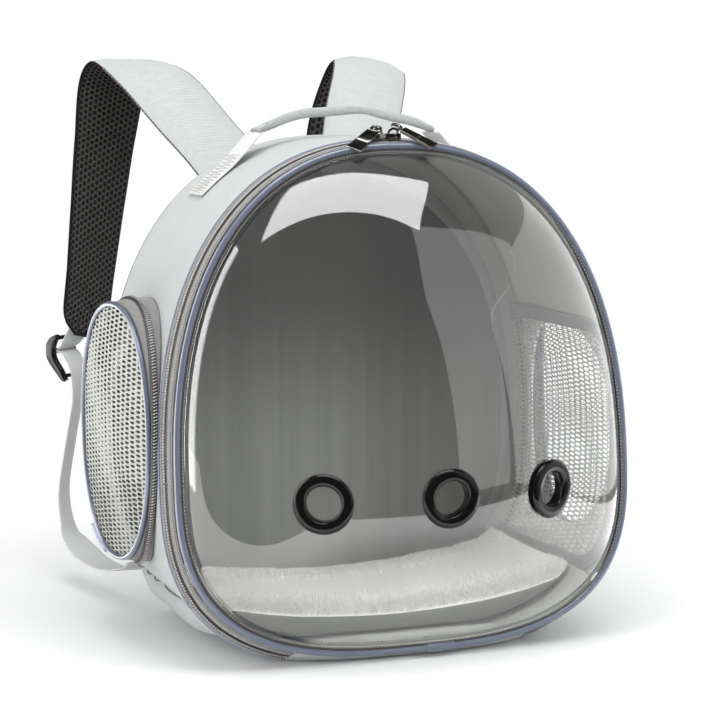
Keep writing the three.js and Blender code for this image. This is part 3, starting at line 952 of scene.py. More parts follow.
@dataclass(frozen=True)
class Cloth(Finish):
    """Woven or knitted cloth."""

    light: Colour
    dark: Colour
    pitch: float = 1.5 * MM
    stretch: float = 1.0
    slant: float = 1.0
    bump: float = 0.25
    roughness: float = 0.85
    sheen: float = 0.2
    mottle: float = 0.08
    kind: Coords = Coords.UV
    streak: Triple = (22.0, 22.0, 22.0)
    fades: tuple[Fade, ...] = ()

    def surface(self, graph: Graph) -> Socket:
        """Threads in two tones with a little sheen.

        Args:
            graph: The material's graph.

        Returns:
            The shader.
        """
        weave = graph.add(
            "ShaderNodeGroup",
            {
                "Vector": self.coords(graph, self.kind),
                "Pitch": self.pitch,
                "Stretch": self.stretch,
                "Slant": self.slant,
            },
            node_tree=weave_group(),
        )
        mottle = self.mottled(graph, 1.0, self.mottle, self.streak)
        threads = graph.mix(weave.outputs["Shade"], (*self.dark, 1), (*self.light, 1))
        colour = graph.mix(1.0, threads, mottle.outputs["Tone"], "MULTIPLY")
        # Painted shade: each ramp darkens or lightens the colour along one axis.
        for fade in self.fades:
            colour = graph.mix(1.0, colour, fade.tone(graph, self.coords(graph, Coords.OBJECT)), "MULTIPLY")
        bump = graph.add(
            "ShaderNodeBump",
            {"Strength": self.bump, "Distance": 0.3 * MM, "Height": weave.outputs["Height"]},
        )
        return graph.principled(
            {
                "Base Color": colour,
                "Roughness": self.roughness,
                "Sheen Weight": self.sheen,
                "Sheen Roughness": 0.5,
                "Specular IOR Level": 0.25,
                "Normal": bump.outputs[0],
            }
        )


@dataclass(frozen=True)
class Plastic(Finish):
    """Moulded plastic."""

    colour: Colour
    roughness: float = 0.3
    coat: float = 0.0
    speckle: float = 0.06
    specular: float = 0.5

    def surface(self, graph: Graph) -> Socket:
        """A smooth surface with faint handling marks.

        Args:
            graph: The material's graph.

        Returns:
            The shader.
        """
        mottle = self.mottled(graph, 60.0, self.speckle)
        colour = graph.mix(1.0, (*self.colour, 1), mottle.outputs["Tone"], "MULTIPLY")
        rough = graph.math("MULTIPLY_ADD", mottle.outputs["Relief"], 0.08, self.roughness - 0.04)
        return graph.principled(
            {
                "Base Color": colour,
                "Roughness": rough,
                "Specular IOR Level": self.specular,
                "Coat Weight": self.coat,
                "Coat Roughness": 0.08,
            }
        )


@dataclass(frozen=True)
class Metal(Finish):
    """Plated metal."""

    colour: Colour
    roughness: float = 0.22

    def surface(self, graph: Graph) -> Socket:
        """Dark plating with a worn tone.

        Args:
            graph: The material's graph.

        Returns:
            The shader.
        """
        mottle = self.mottled(graph, 180.0, 0.5)
        colour = graph.mix(1.0, (*self.colour, 1), mottle.outputs["Tone"], "MULTIPLY")
        rough = graph.math("MULTIPLY_ADD", mottle.outputs["Relief"], 0.16, self.roughness - 0.08)
        return graph.principled({"Base Color": colour, "Roughness": rough, "Metallic": 1.0})


@dataclass(frozen=True)
class Clear(Finish):
    """Clear moulded sheet that lets light through to what is behind it."""

    tint: Colour
    roughness: float = 0.015

    def surface(self, graph: Graph) -> Socket:
        """Clear plastic for the eye, and see-through for shadows.

        Args:
            graph: The material's graph.

        Returns:
            The shader.
        """
        mottle = self.mottled(graph, 9.0, 0.1)
        rough = graph.math("MULTIPLY", mottle.outputs["Relief"], self.roughness * 2)
        tint = (*self.tint, 1)
        sheet = graph.principled(
            {"Base Color": tint, "Roughness": rough, "IOR": 1.5, "Transmission Weight": 1.0}
        )
        open_way = graph.add("ShaderNodeBsdfTransparent", {"Color": tint}).outputs[0]
        shadow = graph.add("ShaderNodeLightPath").outputs["Is Shadow Ray"]
        return graph.either(shadow, sheet, open_way)


def yarn(name: str, slot: str, light: Colour, dark: Colour, pitch: float, **look: object) -> Cloth:
    """Cloth whose pattern follows the model, for pieces without a UV map."""
    return Cloth(name, slot, light, dark, pitch * MM, kind=Coords.OBJECT, **look)


CLOTH = Cloth("body_cloth", "cloth", (0.535, 0.56, 0.553), (0.365, 0.384, 0.377), 1.7 * MM)
LINING = Cloth(
    "dark_lining",
    "lining",
    (0.178, 0.179, 0.167),
    (0.150, 0.151, 0.140),
    2.2 * MM,
    mottle=0.5,
    bump=0.05,
    streak=(90.0, 90.0, 2.5),
    # Painted shade: the back lining is lighter low down and darker high up, where the roof shades it, and
    # darker towards the right.
    fades=(Fade(2, 0.12, 0.28, 1.42, 0.52), Fade(0, -0.02, 0.10, 1.0, 0.62)),
)
INNER_LINING = Cloth(
    "inner_lining", "lining", (0.46, 0.46, 0.42), (0.34, 0.34, 0.31), slant=0.4, mottle=0.2
)
CORNER_LINING = Cloth(
    "corner_lining", "lining", (0.21, 0.21, 0.195), (0.155, 0.155, 0.145), slant=0.4, mottle=0.2
)
# Painted light: a near-white copy of the inner lining for the wall under the window nets, standing in for
# light that shines through the cloth.
PAINTED_BACKLIGHT = Cloth("painted_backlight_lining", "lining", (0.86, 0.86, 0.84), (0.76, 0.76, 0.74), slant=0.4)
BINDING = Cloth("grey_binding", "lining", (0.19, 0.188, 0.18), (0.12, 0.12, 0.115), slant=0.5)
GUSSET = Cloth(
    "pocket_gusset", "tape", (0.28, 0.275, 0.27), (0.15, 0.147, 0.145), 1.6 * MM, slant=0.8, bump=0.5
)
TAPE = Cloth("zip_tape", "tape", (0.36, 0.352, 0.345), (0.19, 0.186, 0.18), 1.9 * MM, slant=0.8, bump=0.8)
WEBBING = Cloth(
    "webbing", "webbing", (0.49, 0.485, 0.465), (0.31, 0.31, 0.295), 2.0 * MM, slant=0.3, bump=0.5
)
FOOT_WEBBING = Cloth(
    "foot_webbing", "webbing", (0.74, 0.74, 0.725), (0.56, 0.56, 0.55), 1.8 * MM, slant=0.3, bump=0.6
)
GRIP_CLOTH = Cloth("grip_cloth", "cloth", (0.58, 0.60, 0.59), (0.27, 0.28, 0.276), 2.0 * MM, bump=0.8)
NET = yarn(
    "pale_net", "mesh", (0.62, 0.62, 0.58), (0.46, 0.46, 0.43), 0.9,
    # Painted shade: the pocket net is darker towards its bottom.
    bump=0.4, fades=(Fade(2, 0.07, 0.17, 0.74, 1.0),),
)
INNER_NET = yarn("inner_net", "mesh", (0.40, 0.40, 0.364), (0.29, 0.29, 0.266), 0.9, bump=0.3)
# Painted shade: a darker copy of the inner net, used on the left window for the shade inside the left
# pocket.
SHADED_NET = yarn("shaded_net", "mesh", (0.15, 0.15, 0.14), (0.10, 0.10, 0.094), 0.9)
SPACER = yarn("spacer_net", "spacer", (0.062, 0.058, 0.052), (0.026, 0.024, 0.022), 1.0)
SPACER_PAD = Cloth(
    "spacer_pad", "spacer", (0.010, 0.010, 0.009), (0.005, 0.005, 0.005), slant=0.5, sheen=0.0
)
FLEECE = yarn("fleece", "fleece", (0.97, 0.97, 0.965), (0.93, 0.93, 0.925), 1.2, sheen=0.6)
THREAD = yarn("pale_thread", "cloth", (0.90, 0.90, 0.88), (0.74, 0.74, 0.72), 0.6)
GREY_THREAD = yarn("grey_thread", "cloth", (0.58, 0.58, 0.565), (0.42, 0.42, 0.41), 0.6)
ASH_THREAD = yarn("ash_thread", "tape", (0.23, 0.22, 0.21), (0.13, 0.125, 0.12), 0.6)
DARK_THREAD = yarn("dark_thread", "tape", (0.09, 0.08, 0.08), (0.04, 0.037, 0.037), 0.6)
PIPING = Plastic("blue_piping", "piping", (0.118, 0.137, 0.19), 0.34, coat=0.6)
WELT = Plastic("blue_welt", "piping", (0.30, 0.33, 0.45), 0.45)
COIL = Plastic("zip_coil", "coil", (0.50, 0.48, 0.47), 0.4, speckle=0.3)
COIL_CORE = Plastic("coil_core", "coil", (0.018, 0.015, 0.016), 0.5)
BLACK = Plastic("black_plastic", "black", (0.005, 0.005, 0.005), 0.14, specular=0.2)
GUNMETAL = Metal("black_nickel", "gunmetal", (0.20, 0.188, 0.178), 0.16)
CLEAR = Clear("clear_sheet", "clear", (0.965, 0.975, 0.97))


# Body


@dataclass(frozen=True)
class Oval:
    """A superellipse on the side wall."""

    y: float
    z: float
    half_depth: float
    half_height: float
    power: float

    def rim(self, angle: float, grow: float = 0.0) -> tuple[float, float]:
        """A point of the rim, grown."""
        y = self.y - (self.half_depth + grow) * bend(math.cos(angle), self.power)
        return y, self.z + (self.half_height + grow) * bend(math.sin(angle), self.power)

    def radius(self, y: float, z: float, grow: float = 0.0) -> float:
        """How far out a place lies, 1 on the rim.

        Args:
            y: Place from front to back.
            z: Height.
            grow: How far the rim is grown.

        Returns:
            The radius.
        """
        a = abs(y - self.y) / (self.half_depth + grow)
        b = abs(z - self.z) / (self.half_height + grow)
        return (a**self.power + b**self.power) ** (1 / self.power)

    def kept(self, y: float, z: float, grow: float = 0.0) -> tuple[float, float]:
        """The place itself, or the rim's nearest along the ray to the middle."""
        scale = 1 / max(1.0, self.radius(y, z, grow))
        return self.y + (y - self.y) * scale, self.z + (z - self.z) * scale

    def cells(self, net: NetCell, grow: float = 0.0) -> list[Vector]:
        """The centres of a net's cells that lie inside the rim."""
        centres = net.centres(self.half_depth, self.half_height)
        return [spot for spot in centres if self.radius(self.y + spot.x, self.z + spot.y, grow) < 1.0]


@dataclass
class BodyCloth:
    """The cloth wall, the padded base and the back panel."""

    wall: float = 3 * MM
    pad: float = 10 * MM
    seam_turn: float = math.radians(-34)
    seam_gap: float = 0.003
    columns: int = 220
    base_columns: int = 90
    rows: int = 26
    relief_cap: float = 1.4 * MM
    opening: Oval = Oval(0.123, 0.1585, 0.0755, 0.0855, 2.3)
    seam_scale: float = 0.905
    full_turn: float = 0.2
    full_reach: float = 0.13
    fullness: float = 8 * MM
    broad: Ripple = Ripple((9, 16, 9), 1.3 * MM)
    fine: Ripple = Ripple((28, 34, 28), 0.45 * MM, (4, 1, 2))
    gather_reach: float = 0.042
    corner_gather: Ripple = Ripple((14, 2, 1), 0.25)
    inner_share: float = 0.4
    groove_x: float = 0.09
    groove_reach: float = 6 * MM
    groove_depth: float = 2.5 * MM

    def build(self) -> None:
        """Makes the wall, the base, and the seam between them with a dark cord of painted shade in its
        crease.
        """
        right, left = self.seam_turn, math.pi - self.seam_turn
        wall_start, wall_end = right + self.seam_gap, left - self.seam_gap
        wall = self.band("body_cloth", wall_start, wall_end, self.columns, self.wall, True)
        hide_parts("body_wrap")
        base_start, base_end = left + self.seam_gap, math.tau + right - self.seam_gap
        base = self.band("base_cloth", base_start, base_end, self.base_columns, self.pad)
        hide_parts("base_panel")
        self.back_panel()
        self.seams()

    def relief(self, point: Vector, turn: float, depth: float) -> float:
        """Soft dents of the cloth, fading out at its sewn edges."""
        dents = self.broad.at(*point) + self.fine.at(*point)
        return held(depth, 0.15, 0.1) * dents + self.pucker(turn, depth)

    def pucker(self, turn: float, depth: float) -> float:
        """Gathers along the base seam.

        Args:
            turn: Angle round the outline.
            depth: Share of the way from the rim to the back.

        Returns:
            The move along the wall's normal.
        """
        away = min(abs(turn - self.seam_turn), abs(turn - math.pi + self.seam_turn))
        away = min(away, abs(turn - math.tau - self.seam_turn))
        wave = math.sin(depth * 31 + 2.2 * math.sin(depth * 9)) * 0.5 + 0.5
        return -bell(away, self.gather_reach) * (3.2 + 2.4 * wave) * MM

    def bulge(self, turn: float, depth: float) -> float:
        """The soft fullness of the base just under its seam on both sides.

        Args:
            turn: Angle round the outline.
            depth: Share of the way from the rim to the back.

        Returns:
            The move along the wall's normal.
        """
        below = min(turn - math.pi + self.seam_turn, math.tau + self.seam_turn - turn)
        full = bell(below - self.full_turn, self.full_reach) * ease(below / 0.12)
        return self.fullness * full * held(depth, 0.3, 0.12)

    def band(
        self, name: str, start: float, end: float, columns: int, wall: float, opened: bool = False
    ) -> Piece:
        """A closed stretch of the body's wall between two turns, opened behind the pockets where asked.

        Args:
            name: The piece's name.
            start: Turn where it starts.
            end: Turn where it ends.
            columns: Faces along it.
            wall: Its thickness.
            opened: Whether it is opened.

        Returns:
            The piece.
        """

        def place(u: float, v: float) -> Vector:
            """A point of the outer or the inner face."""
            turn = lerp(start, end, u)
            outside, depth = shell(v)
            point = FORM.wall(turn, depth, 0.0 if outside else wall)
            lift = 0.0
            if outside:
                lift = min(self.relief(point, turn, depth), self.relief_cap) + self.bulge(turn, depth)
            raised = point + FORM.wall_out(turn, depth) * lift
            raised.z = max(raised.z, 0.0 if outside else wall)
            return raised

        skin = tube(columns, self.rows * 2, place, (1.1, 0.42))
        if opened:
            for side in Side:
                self.open_side(skin, side)
        piece = add_piece(name, skin, CLOTH)

        def inner(face: Face) -> bool:
            """Whether a face looks into the carrier."""
            return face.normal.dot(Vector((face.center.x, 0, face.center.z - FORM.centre))) < 0

        def backlit_under_net(face: Face) -> bool:
            """Whether a face lies under a window's net, where light through the cloth is painted on."""
            turned_in = face.normal.x * face.center.x < 0.5 * abs(face.center.x)
            return turned_in and SideWindow.covers(face.center)

        repaint(piece, INNER_LINING, inner)
        # Painted light: the wall under each window net is painted near white for light shining through the
        # cloth.
        repaint(piece, PAINTED_BACKLIGHT, backlit_under_net)
        return piece

    def open_side(self, skin: Shape, side: Side) -> None:
        """Opens the oval behind a pocket and closes the cloth round its edge.

        Args:
            skin: The wall.
            side: Which side.
        """
        origin = FORM.at(0, 0, 0)
        inside = []
        for face in skin.faces:
            centre = face.calc_center_median() - origin
            if centre.x * side.value > SIDE_FROM and self.opening.radius(centre.y, centre.z) < 1:
                inside.append(face)
        bmesh.ops.delete(skin, geom=inside, context="FACES")
        edges = [edge for edge in skin.edges if edge.is_boundary]
        for vert in sorted({vert for edge in edges for vert in edge.verts}, key=lambda item: item.index):
            spot = vert.co - origin
            away = self.opening.radius(spot.y, spot.z)
            y = self.opening.y + (spot.y - self.opening.y) / away
            z = self.opening.z + (spot.z - self.opening.z) / away
            inner = abs(spot.x) < FORM.side_reach(spot.y, spot.z) - self.wall / 2
            reach = FORM.side_reach(y, z, self.wall if inner else 0.0)
            vert.co = FORM.at(side.value * reach, y, z)
        bmesh.ops.bridge_loops(skin, edges=edges)
        bmesh.ops.recalc_face_normals(skin, faces=skin.faces)

    def back_panel(self) -> None:
        """The padded back, dark and flat inside, quilted outside."""
        low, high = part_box("back_panel")
        thick = high.y - low.y

        def place(u: float, v: float) -> Vector:
            """A point of the flat inner or the quilted outer face."""
            turn = u * math.tau
            inside = v < self.inner_share
            scale = v / self.inner_share if inside else (1 - v) / (1 - self.inner_share)
            edge = FORM.wall(turn, 1.0, 1.2 * MM)
            x, z = edge.x * scale, lerp(FORM.centre, edge.z, scale)
            if inside:
                return Vector((x, low.y + 0.2 * MM, z))
            crown = (1 - scale**6) ** 0.5 if scale < 1 else 0.0
            groove = bell(abs(x) - self.groove_x, self.groove_reach) * ease((0.9 - scale) / 0.2)
            return Vector((x, low.y + lerp(0.45, 1.0, crown) * thick - groove * self.groove_depth, z))

        panel = add_piece("back_pad", grid(120, 50, place, (1.2, 0.6), True), CLOTH, ["back_panel"])
        repaint(panel, LINING, lambda face: face.center.y < low.y + 0.5 * MM)
        self.corner_lining(low.y)

    def back_ring(self, turn: float, scale: float, y: float) -> Vector:
        """A point of the back, scaled in towards its middle."""
        edge = FORM.wall(turn, 1.0)
        return Vector((edge.x * scale, y, lerp(FORM.centre, edge.z, scale)))

    def corner_lining(self, back: float) -> None:
        """The lining that rounds the inner corner at the back, and its bound seam.

        Args:
            back: The y of the back's inner face.
        """
        start, end = math.radians(-36), math.radians(108)

        def corner(u: float, v: float) -> Vector:
            """A point of the lining, bowed into the corner."""
            turn = lerp(start, end, u)
            gather = 1 + self.corner_gather.at(turn, v, 0.5)
            first = FORM.wall(turn, 0.93, self.wall + 0.6 * MM)
            corner_point = FORM.wall(turn, 0.985, self.wall + lerp(2, 6, v) * gather * MM)
            last = self.back_ring(turn, self.seam_scale, back - 0.6 * MM)
            return first.lerp(corner_point, v).lerp(corner_point.lerp(last, v), v)

        piece = add_piece("corner_lining", grid(120, 12, corner, (0.56, 0.03)), CORNER_LINING)

        def binding(u: float, v: float) -> Vector:
            """A point of the binding over the seam."""
            across, up = section(v, 4, 2.5)
            scale = self.seam_scale - 0.012 + 0.024 * across
            return self.back_ring(lerp(start, end, u), scale, back - 1.5 * MM + 1.2 * MM * up)

        add_piece("corner_binding", tube(120, 12, binding, (0.6, 0.02)), BINDING)

    def seams(self) -> None:
        """The welt at the door's rim, and on both sides a dark cord over the base seam that paints the
        shadow in its crease.
        """
        start, end = ZipBand.end_turn, math.pi - ZipBand.end_turn

        def rim(share: float) -> Spot:
            """The welt's line at the door's rim."""
            turn = lerp(start, end, share)
            return FORM.wall(turn, 0.004) + FORM.wall_out(turn, 0.01) * 0.4 * MM, FORM.wall_out(turn, 0.01)

        add_piece("door_welt", cord_skin(rim, 0.55 * MM, 160, 6), WELT)
        for side, turn in ((Side.LEFT, math.pi - self.seam_turn), (Side.RIGHT, self.seam_turn)):

            def fold(share: float, turn: float = turn) -> Spot:
                """The line of the painted crease shadow along the base seam."""
                depth = lerp(0.03, 0.97, share)
                point, out = FORM.wall(turn, depth), FORM.wall_out(turn, depth)
                return point + out * (self.relief(point, turn, depth) + 2.6 * MM), out

            # Painted shade: a dark cord lies in the crease of the base seam for the shadow there.
            add_piece(f"base_seam_{side.label}", cord_skin(fold, 0.8 * MM, 90, 6), BINDING)


# Door


@dataclass
class ZipBand:
    """The zip round the door: two tapes, the coil and the hinge strip; its two sliders are made by
    ZipSlider.
    """

    end_turn: float = math.radians(-67)
    tape: float = 1.5 * MM
    coil_from: float = 0.43
    coil_to: float = 0.76
    core_half: float = 0.17
    tooth_line: float = 0.635
    tooth_pitch: float = 2.2 * MM
    tooth_slant: float = math.radians(24)
    tooth: Triple = (1.7 * MM, 4.6 * MM, 1.8 * MM)
    stitch_lines: tuple[tuple[str, float], ...] = (
        ("door_inner", 0.06),
        ("door_outer", 0.37),
        ("body", 0.80),
    )
    stitch_pitch: float = 2.3 * MM
    stitch: Triple = (1.3 * MM, 1.0 * MM, 0.6 * MM)

    def build(self) -> None:
        """Makes the tapes, the teeth, their stitching and the hinge strip."""
        start, end = self.end_turn, math.pi - self.end_turn
        self.strip("tape_door", 0.0, self.coil_from, start, end, TAPE, ["zip_tape_door"], 150)
        self.strip("tape_body", self.coil_to, 1.0, start, end, TAPE, ["zip_tape_body"], 150)
        fold_start, fold_end = end + 0.004, math.tau + start - 0.004
        self.strip("hinge_strip", 0.0, 1.0, fold_start, fold_end, CLOTH, ["door_hinge_strip"], 40)
        self.teeth(start, end)
        for name, across in self.stitch_lines:
            self.stitching(f"stitch_tape_{name}", across, start, end)

    def strip(
        self, name: str, low: float, high: float, start: float, end: float, finish: Finish,
        stands_for: Sequence[str], columns: int,
    ) -> Piece:
        """A tape of the zip band, rounded at its edges.

        Args:
            name: The piece's name.
            low: Share over the band at its inner edge.
            high: Share at its outer edge.
            start: Turn where it starts.
            end: Turn where it ends.
            finish: What it is made of.
            stands_for: The solids that it replaces.
            columns: Faces along it.

        Returns:
            The piece.
        """

        def place(u: float, v: float) -> Vector:
            """A point of the tape's skin."""
            across, up = section(v, 4, 2.2)
            across = (low + high) / 2 - (high - low) / 2 * across
            return FORM.zip(lerp(start, end, u), across, -self.tape / 2 + self.tape / 2 * up)

        return add_piece(name, tube(columns, 20, place, (1.1, 0.02)), finish, stands_for)

    def path(self, across: float, lift: float, start: float, end: float) -> Path:
        """A line along the band.

        Args:
            across: Share over the band.
            lift: Height over it.
            start: Turn where it starts.
            end: Turn where it ends.

        Returns:
            The path.
        """

        def run(share: float) -> Spot:
            """The point and the normal at a share of the line."""
            turn = lerp(start, end, share)
            here = FORM.zip(turn, across, lift)
            return here, (FORM.zip(turn, across, lift + 5 * MM) - here).normalized()

        return run

    def teeth(self, start: float, end: float) -> None:
        """A row of slanted coil teeth on a dark core.

        Args:
            start: Turn where it starts.
            end: Turn where it ends.
        """

        def core(u: float, v: float) -> Vector:
            """A point of the dark core."""
            across, up = section(v, 4, 2)
            across = (self.coil_from + self.coil_to) / 2 - self.core_half * across
            return FORM.zip(lerp(start, end, u), across, -1.3 * MM + 0.7 * MM * up)

        add_piece("coil_bed", tube(150, 12, core), COIL_CORE, ["zip_coil"])
        frames = spaced(self.path(self.tooth_line, 0.0, start, end), self.tooth_pitch)
        slant = Matrix.Rotation(self.tooth_slant, 4, "Z")
        add_piece("teeth", tile(moved(bead(*self.tooth), slant), frames), COIL)

    def stitching(self, name: str, across: float, start: float, end: float) -> None:
        """A row of stitches along a tape."""
        frames = spaced(self.path(across, 0.1 * MM, start, end), self.stitch_pitch)
        add_piece(name, tile(bead(*self.stitch), frames), DARK_THREAD)


def copied(node: str) -> Shape:
    """A merged copy of a solid.

    Args:
        node: The solid's name.

    Returns:
        The copy.
    """
    bm = bmesh.new()
    bm.from_mesh(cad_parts[node].data)
    bmesh.ops.remove_doubles(bm, verts=bm.verts, dist=1e-6)
    return bm


def plated(node: str, edge: float) -> None:
    """A metal piece in the form of a solid, with its sharp edges rounded.

    Args:
        node: The solid's name.
        edge: Width of the rounding.
    """
    piece = add_piece(f"{node}_metal", copied(node), GUNMETAL, [node])
    bevel = piece.modifiers.new("edges", "BEVEL")
    bevel.width = edge
    bevel.segments = 2
    bevel.limit_method = "ANGLE"


@dataclass
class ZipSlider:
    """A slider of the door's zip with its ring and pull."""

    name: str
    fall: Triple
    face: Triple
    length: float
    lift: float = 3.5 * MM
    top_width: float = 9 * MM
    foot_width: float = 13 * MM
    thick: float = 2.2 * MM

    def build(self) -> None:
        """Makes the slider's body and the pull that hangs from it."""
        plated(f"{self.name}_slider", 0.4 * MM)
        node = f"{self.name}_pull"
        tab = joined([self.ring(), self.plate(0.24, 0.62, False), self.plate(0.6, 1.0, True)])
        add_piece(f"{node}_metal", moved(tab, self.hang(node)), GUNMETAL, [node])

    def hang(self, node: str) -> Matrix:
        """The pull's frame at its hook: x across it, y down its length and z out of its face.

        Args:
            node: The pull's solid.

        Returns:
            The frame.
        """
        low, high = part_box(f"{self.name}_slider")
        body = (low + high) / 2
        points = [vert.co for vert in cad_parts[node].data.vertices]
        hook = min(points, key=lambda point: (point - body).length)
        down = Vector(self.fall).normalized()
        out = Vector(self.face)
        out = (out - down * out.dot(down)).normalized()
        turn = Matrix((down.cross(out), down, out)).transposed().to_4x4()
        return Matrix.Translation(hook - down * 2 * MM + out * self.lift) @ turn

    def ring(self) -> Shape:
        """The wire ring at the top of the pull."""
        return moved(torus(3.6 * MM, 1.2 * MM), Matrix.Translation((0, 4.2 * MM, 0)))

    def plate(self, start: float, end: float, hollow: bool) -> Shape:
        """A stretch of the tapered tab, with a hollow in its face where asked.

        Args:
            start: Share of the pull's length where it starts.
            end: Share where it ends.
            hollow: Whether its face is hollow.

        Returns:
            The plate.
        """
        bm = bmesh.new()
        bmesh.ops.create_cube(bm, size=1)
        face = max(bm.faces, key=lambda item: item.normal.z)
        if hollow:
            bmesh.ops.inset_region(bm, faces=[face], thickness=0.16, use_boundary=True)
            bmesh.ops.translate(bm, vec=(0, 0, -0.35), verts=face.verts)
        for vert in bm.verts:
            share = lerp(start, end, vert.co.y + 0.5)
            width = lerp(self.top_width, self.foot_width, share)
            vert.co = (vert.co.x * width, share * self.length, vert.co.z * self.thick)
        bmesh.ops.bevel(
            bm, geom=bm.edges[:], offset=0.35 * MM, segments=2, profile=0.5, affect="EDGES", material=-1
        )
        return bm


@dataclass
class BubbleDoor:
    """The clear bubble with its flange, piping and grommets."""

    piping_radius: float = 2.45 * MM
    sleeve_wall: float = 1.3 * MM
    wall: float = 1.2 * MM
    spread: float = 0.091
    vent_height: float = 0.129
    barrel: float = 14.7 * MM
    dome_share: float = 0.92
    flange_share: float = 0.08
    stitch_pitch: float = 2.7 * MM
    stitch: Triple = (1.3 * MM, 0.6 * MM, 0.5 * MM)

    def build(self) -> None:
        """Makes the bubble, cuts the vents and seats the grommets."""
        flange = -self.piping_radius - self.sleeve_wall - GAP
        columns, rings = 160, 50

        def place(u: float, v: float) -> Vector:
            """A point of the bubble and its flange, outside and then inside."""
            turn = u * math.tau
            outside, run = shell(v)
            wall = 0.0 if outside else self.wall
            if run <= self.dome_share:
                share = run / self.dome_share
                return FORM.dome(turn, share * (2 - share), wall)
            out = (run - self.dome_share) / self.flange_share
            return FORM.dome(turn, 1.0, wall).lerp(FORM.door_ring(turn, flange, wall), out)

        bm = grid(columns, rings * 2, place, (1.1, 0.5), True)
        bmesh.ops.recalc_face_normals(bm, faces=bm.faces)
        bubble = add_piece("bubble", bm, CLEAR, ["clear_dome"])
        seats = [FORM.dome_seat(place_x * self.spread, self.vent_height) for place_x in (-1, 0, 1)]
        cut_away(bubble, [self.vent(seat) for seat in seats])
        for place_name, seat in zip(("left", "middle", "right"), seats):
            node = f"grommet_{place_name}"
            add_piece(f"{node}_ring", moved(self.grommet(), seat), BLACK, [node])
        self.edging()

    def vent(self, seat: Matrix) -> Shape:
        """A cylinder through the bubble at a grommet.

        Args:
            seat: The grommet's frame.

        Returns:
            The cylinder.
        """
        bm = bmesh.new()
        bmesh.ops.create_cone(
            bm, cap_ends=True, segments=40, radius1=self.barrel, radius2=self.barrel, depth=24 * MM
        )
        return moved(bm, seat)

    def grommet(self) -> Shape:
        """A rolled black grommet turned round its axis.

        Returns:
            The ring.
        """
        profile = [
            (13.2, -6.0), (19.4, -6.2), (20.0, -5.8), (20.0, -4.7), (19.6, -4.5), (14.4, -4.4), (14.4, 0.5),
            (22.0, 0.4), (22.5, 0.9), (22.5, 1.6), (22.1, 2.4), (20.6, 3.5), (19.0, 4.0), (17.0, 4.05),
            (15.2, 3.8), (13.9, 3.1), (13.3, 2.2), (13.2, 1.0),
        ]
        return spun([(radius * MM, height * MM) for radius, height in profile], 56)

    def edging(self) -> None:
        """The piping round the bubble, its joint sleeve and the stitches that hold the flange."""

        def piping(share: float) -> Spot:
            """The piping's line."""
            return FORM.door_ring(share * math.tau, 0.0, 0.0), FORM.facing

        cord = cord_skin(piping, self.piping_radius, 200, 14, True)
        add_piece("door_piping_cord", cord, PIPING, ["door_piping"])
        start, end = math.radians(-89.3), math.radians(-85.3)

        def sleeve(share: float) -> Spot:
            """The sleeve's short stretch of that line."""
            return FORM.door_ring(lerp(start, end, share), 0.0, 0.0), FORM.facing

        wrap = cord_skin(sleeve, self.piping_radius + 1.2 * MM, 12, 14)
        add_piece("piping_sleeve_wrap", wrap, PIPING, ["piping_sleeve"])

        def seam_inset(turn: float) -> float:
            """The seam's inner edge, which the bubble covers on the right."""
            return lerp(4.7, 3.2, ease((math.cos(turn) - 0.2) / 0.6)) * MM

        def stitch_line(share: float) -> Spot:
            """The line of stitches on the flange."""
            turn = share * math.tau
            return FORM.door_ring(turn, 0.5 * MM - seam_inset(turn), -0.5 * MM), FORM.facing

        def seam_strip(u: float, v: float) -> Vector:
            """A point of the dark seam under the stitches."""
            turn = u * math.tau
            across, up = section(v, 4, 3)
            inner, outer = seam_inset(turn), 2.2 * MM
            grow = -(inner + outer) / 2 + (inner - outer) / 2 * across
            return FORM.door_ring(turn, grow, -0.2 * MM + 0.3 * MM * up)

        add_piece("flange_seam", tube(200, 10, seam_strip, (1.1, 0.01), True), DARK_THREAD)
        frames = spaced(stitch_line, self.stitch_pitch)
        add_piece("flange_stitches", tile(bead(*self.stitch), frames), THREAD)


# Nets


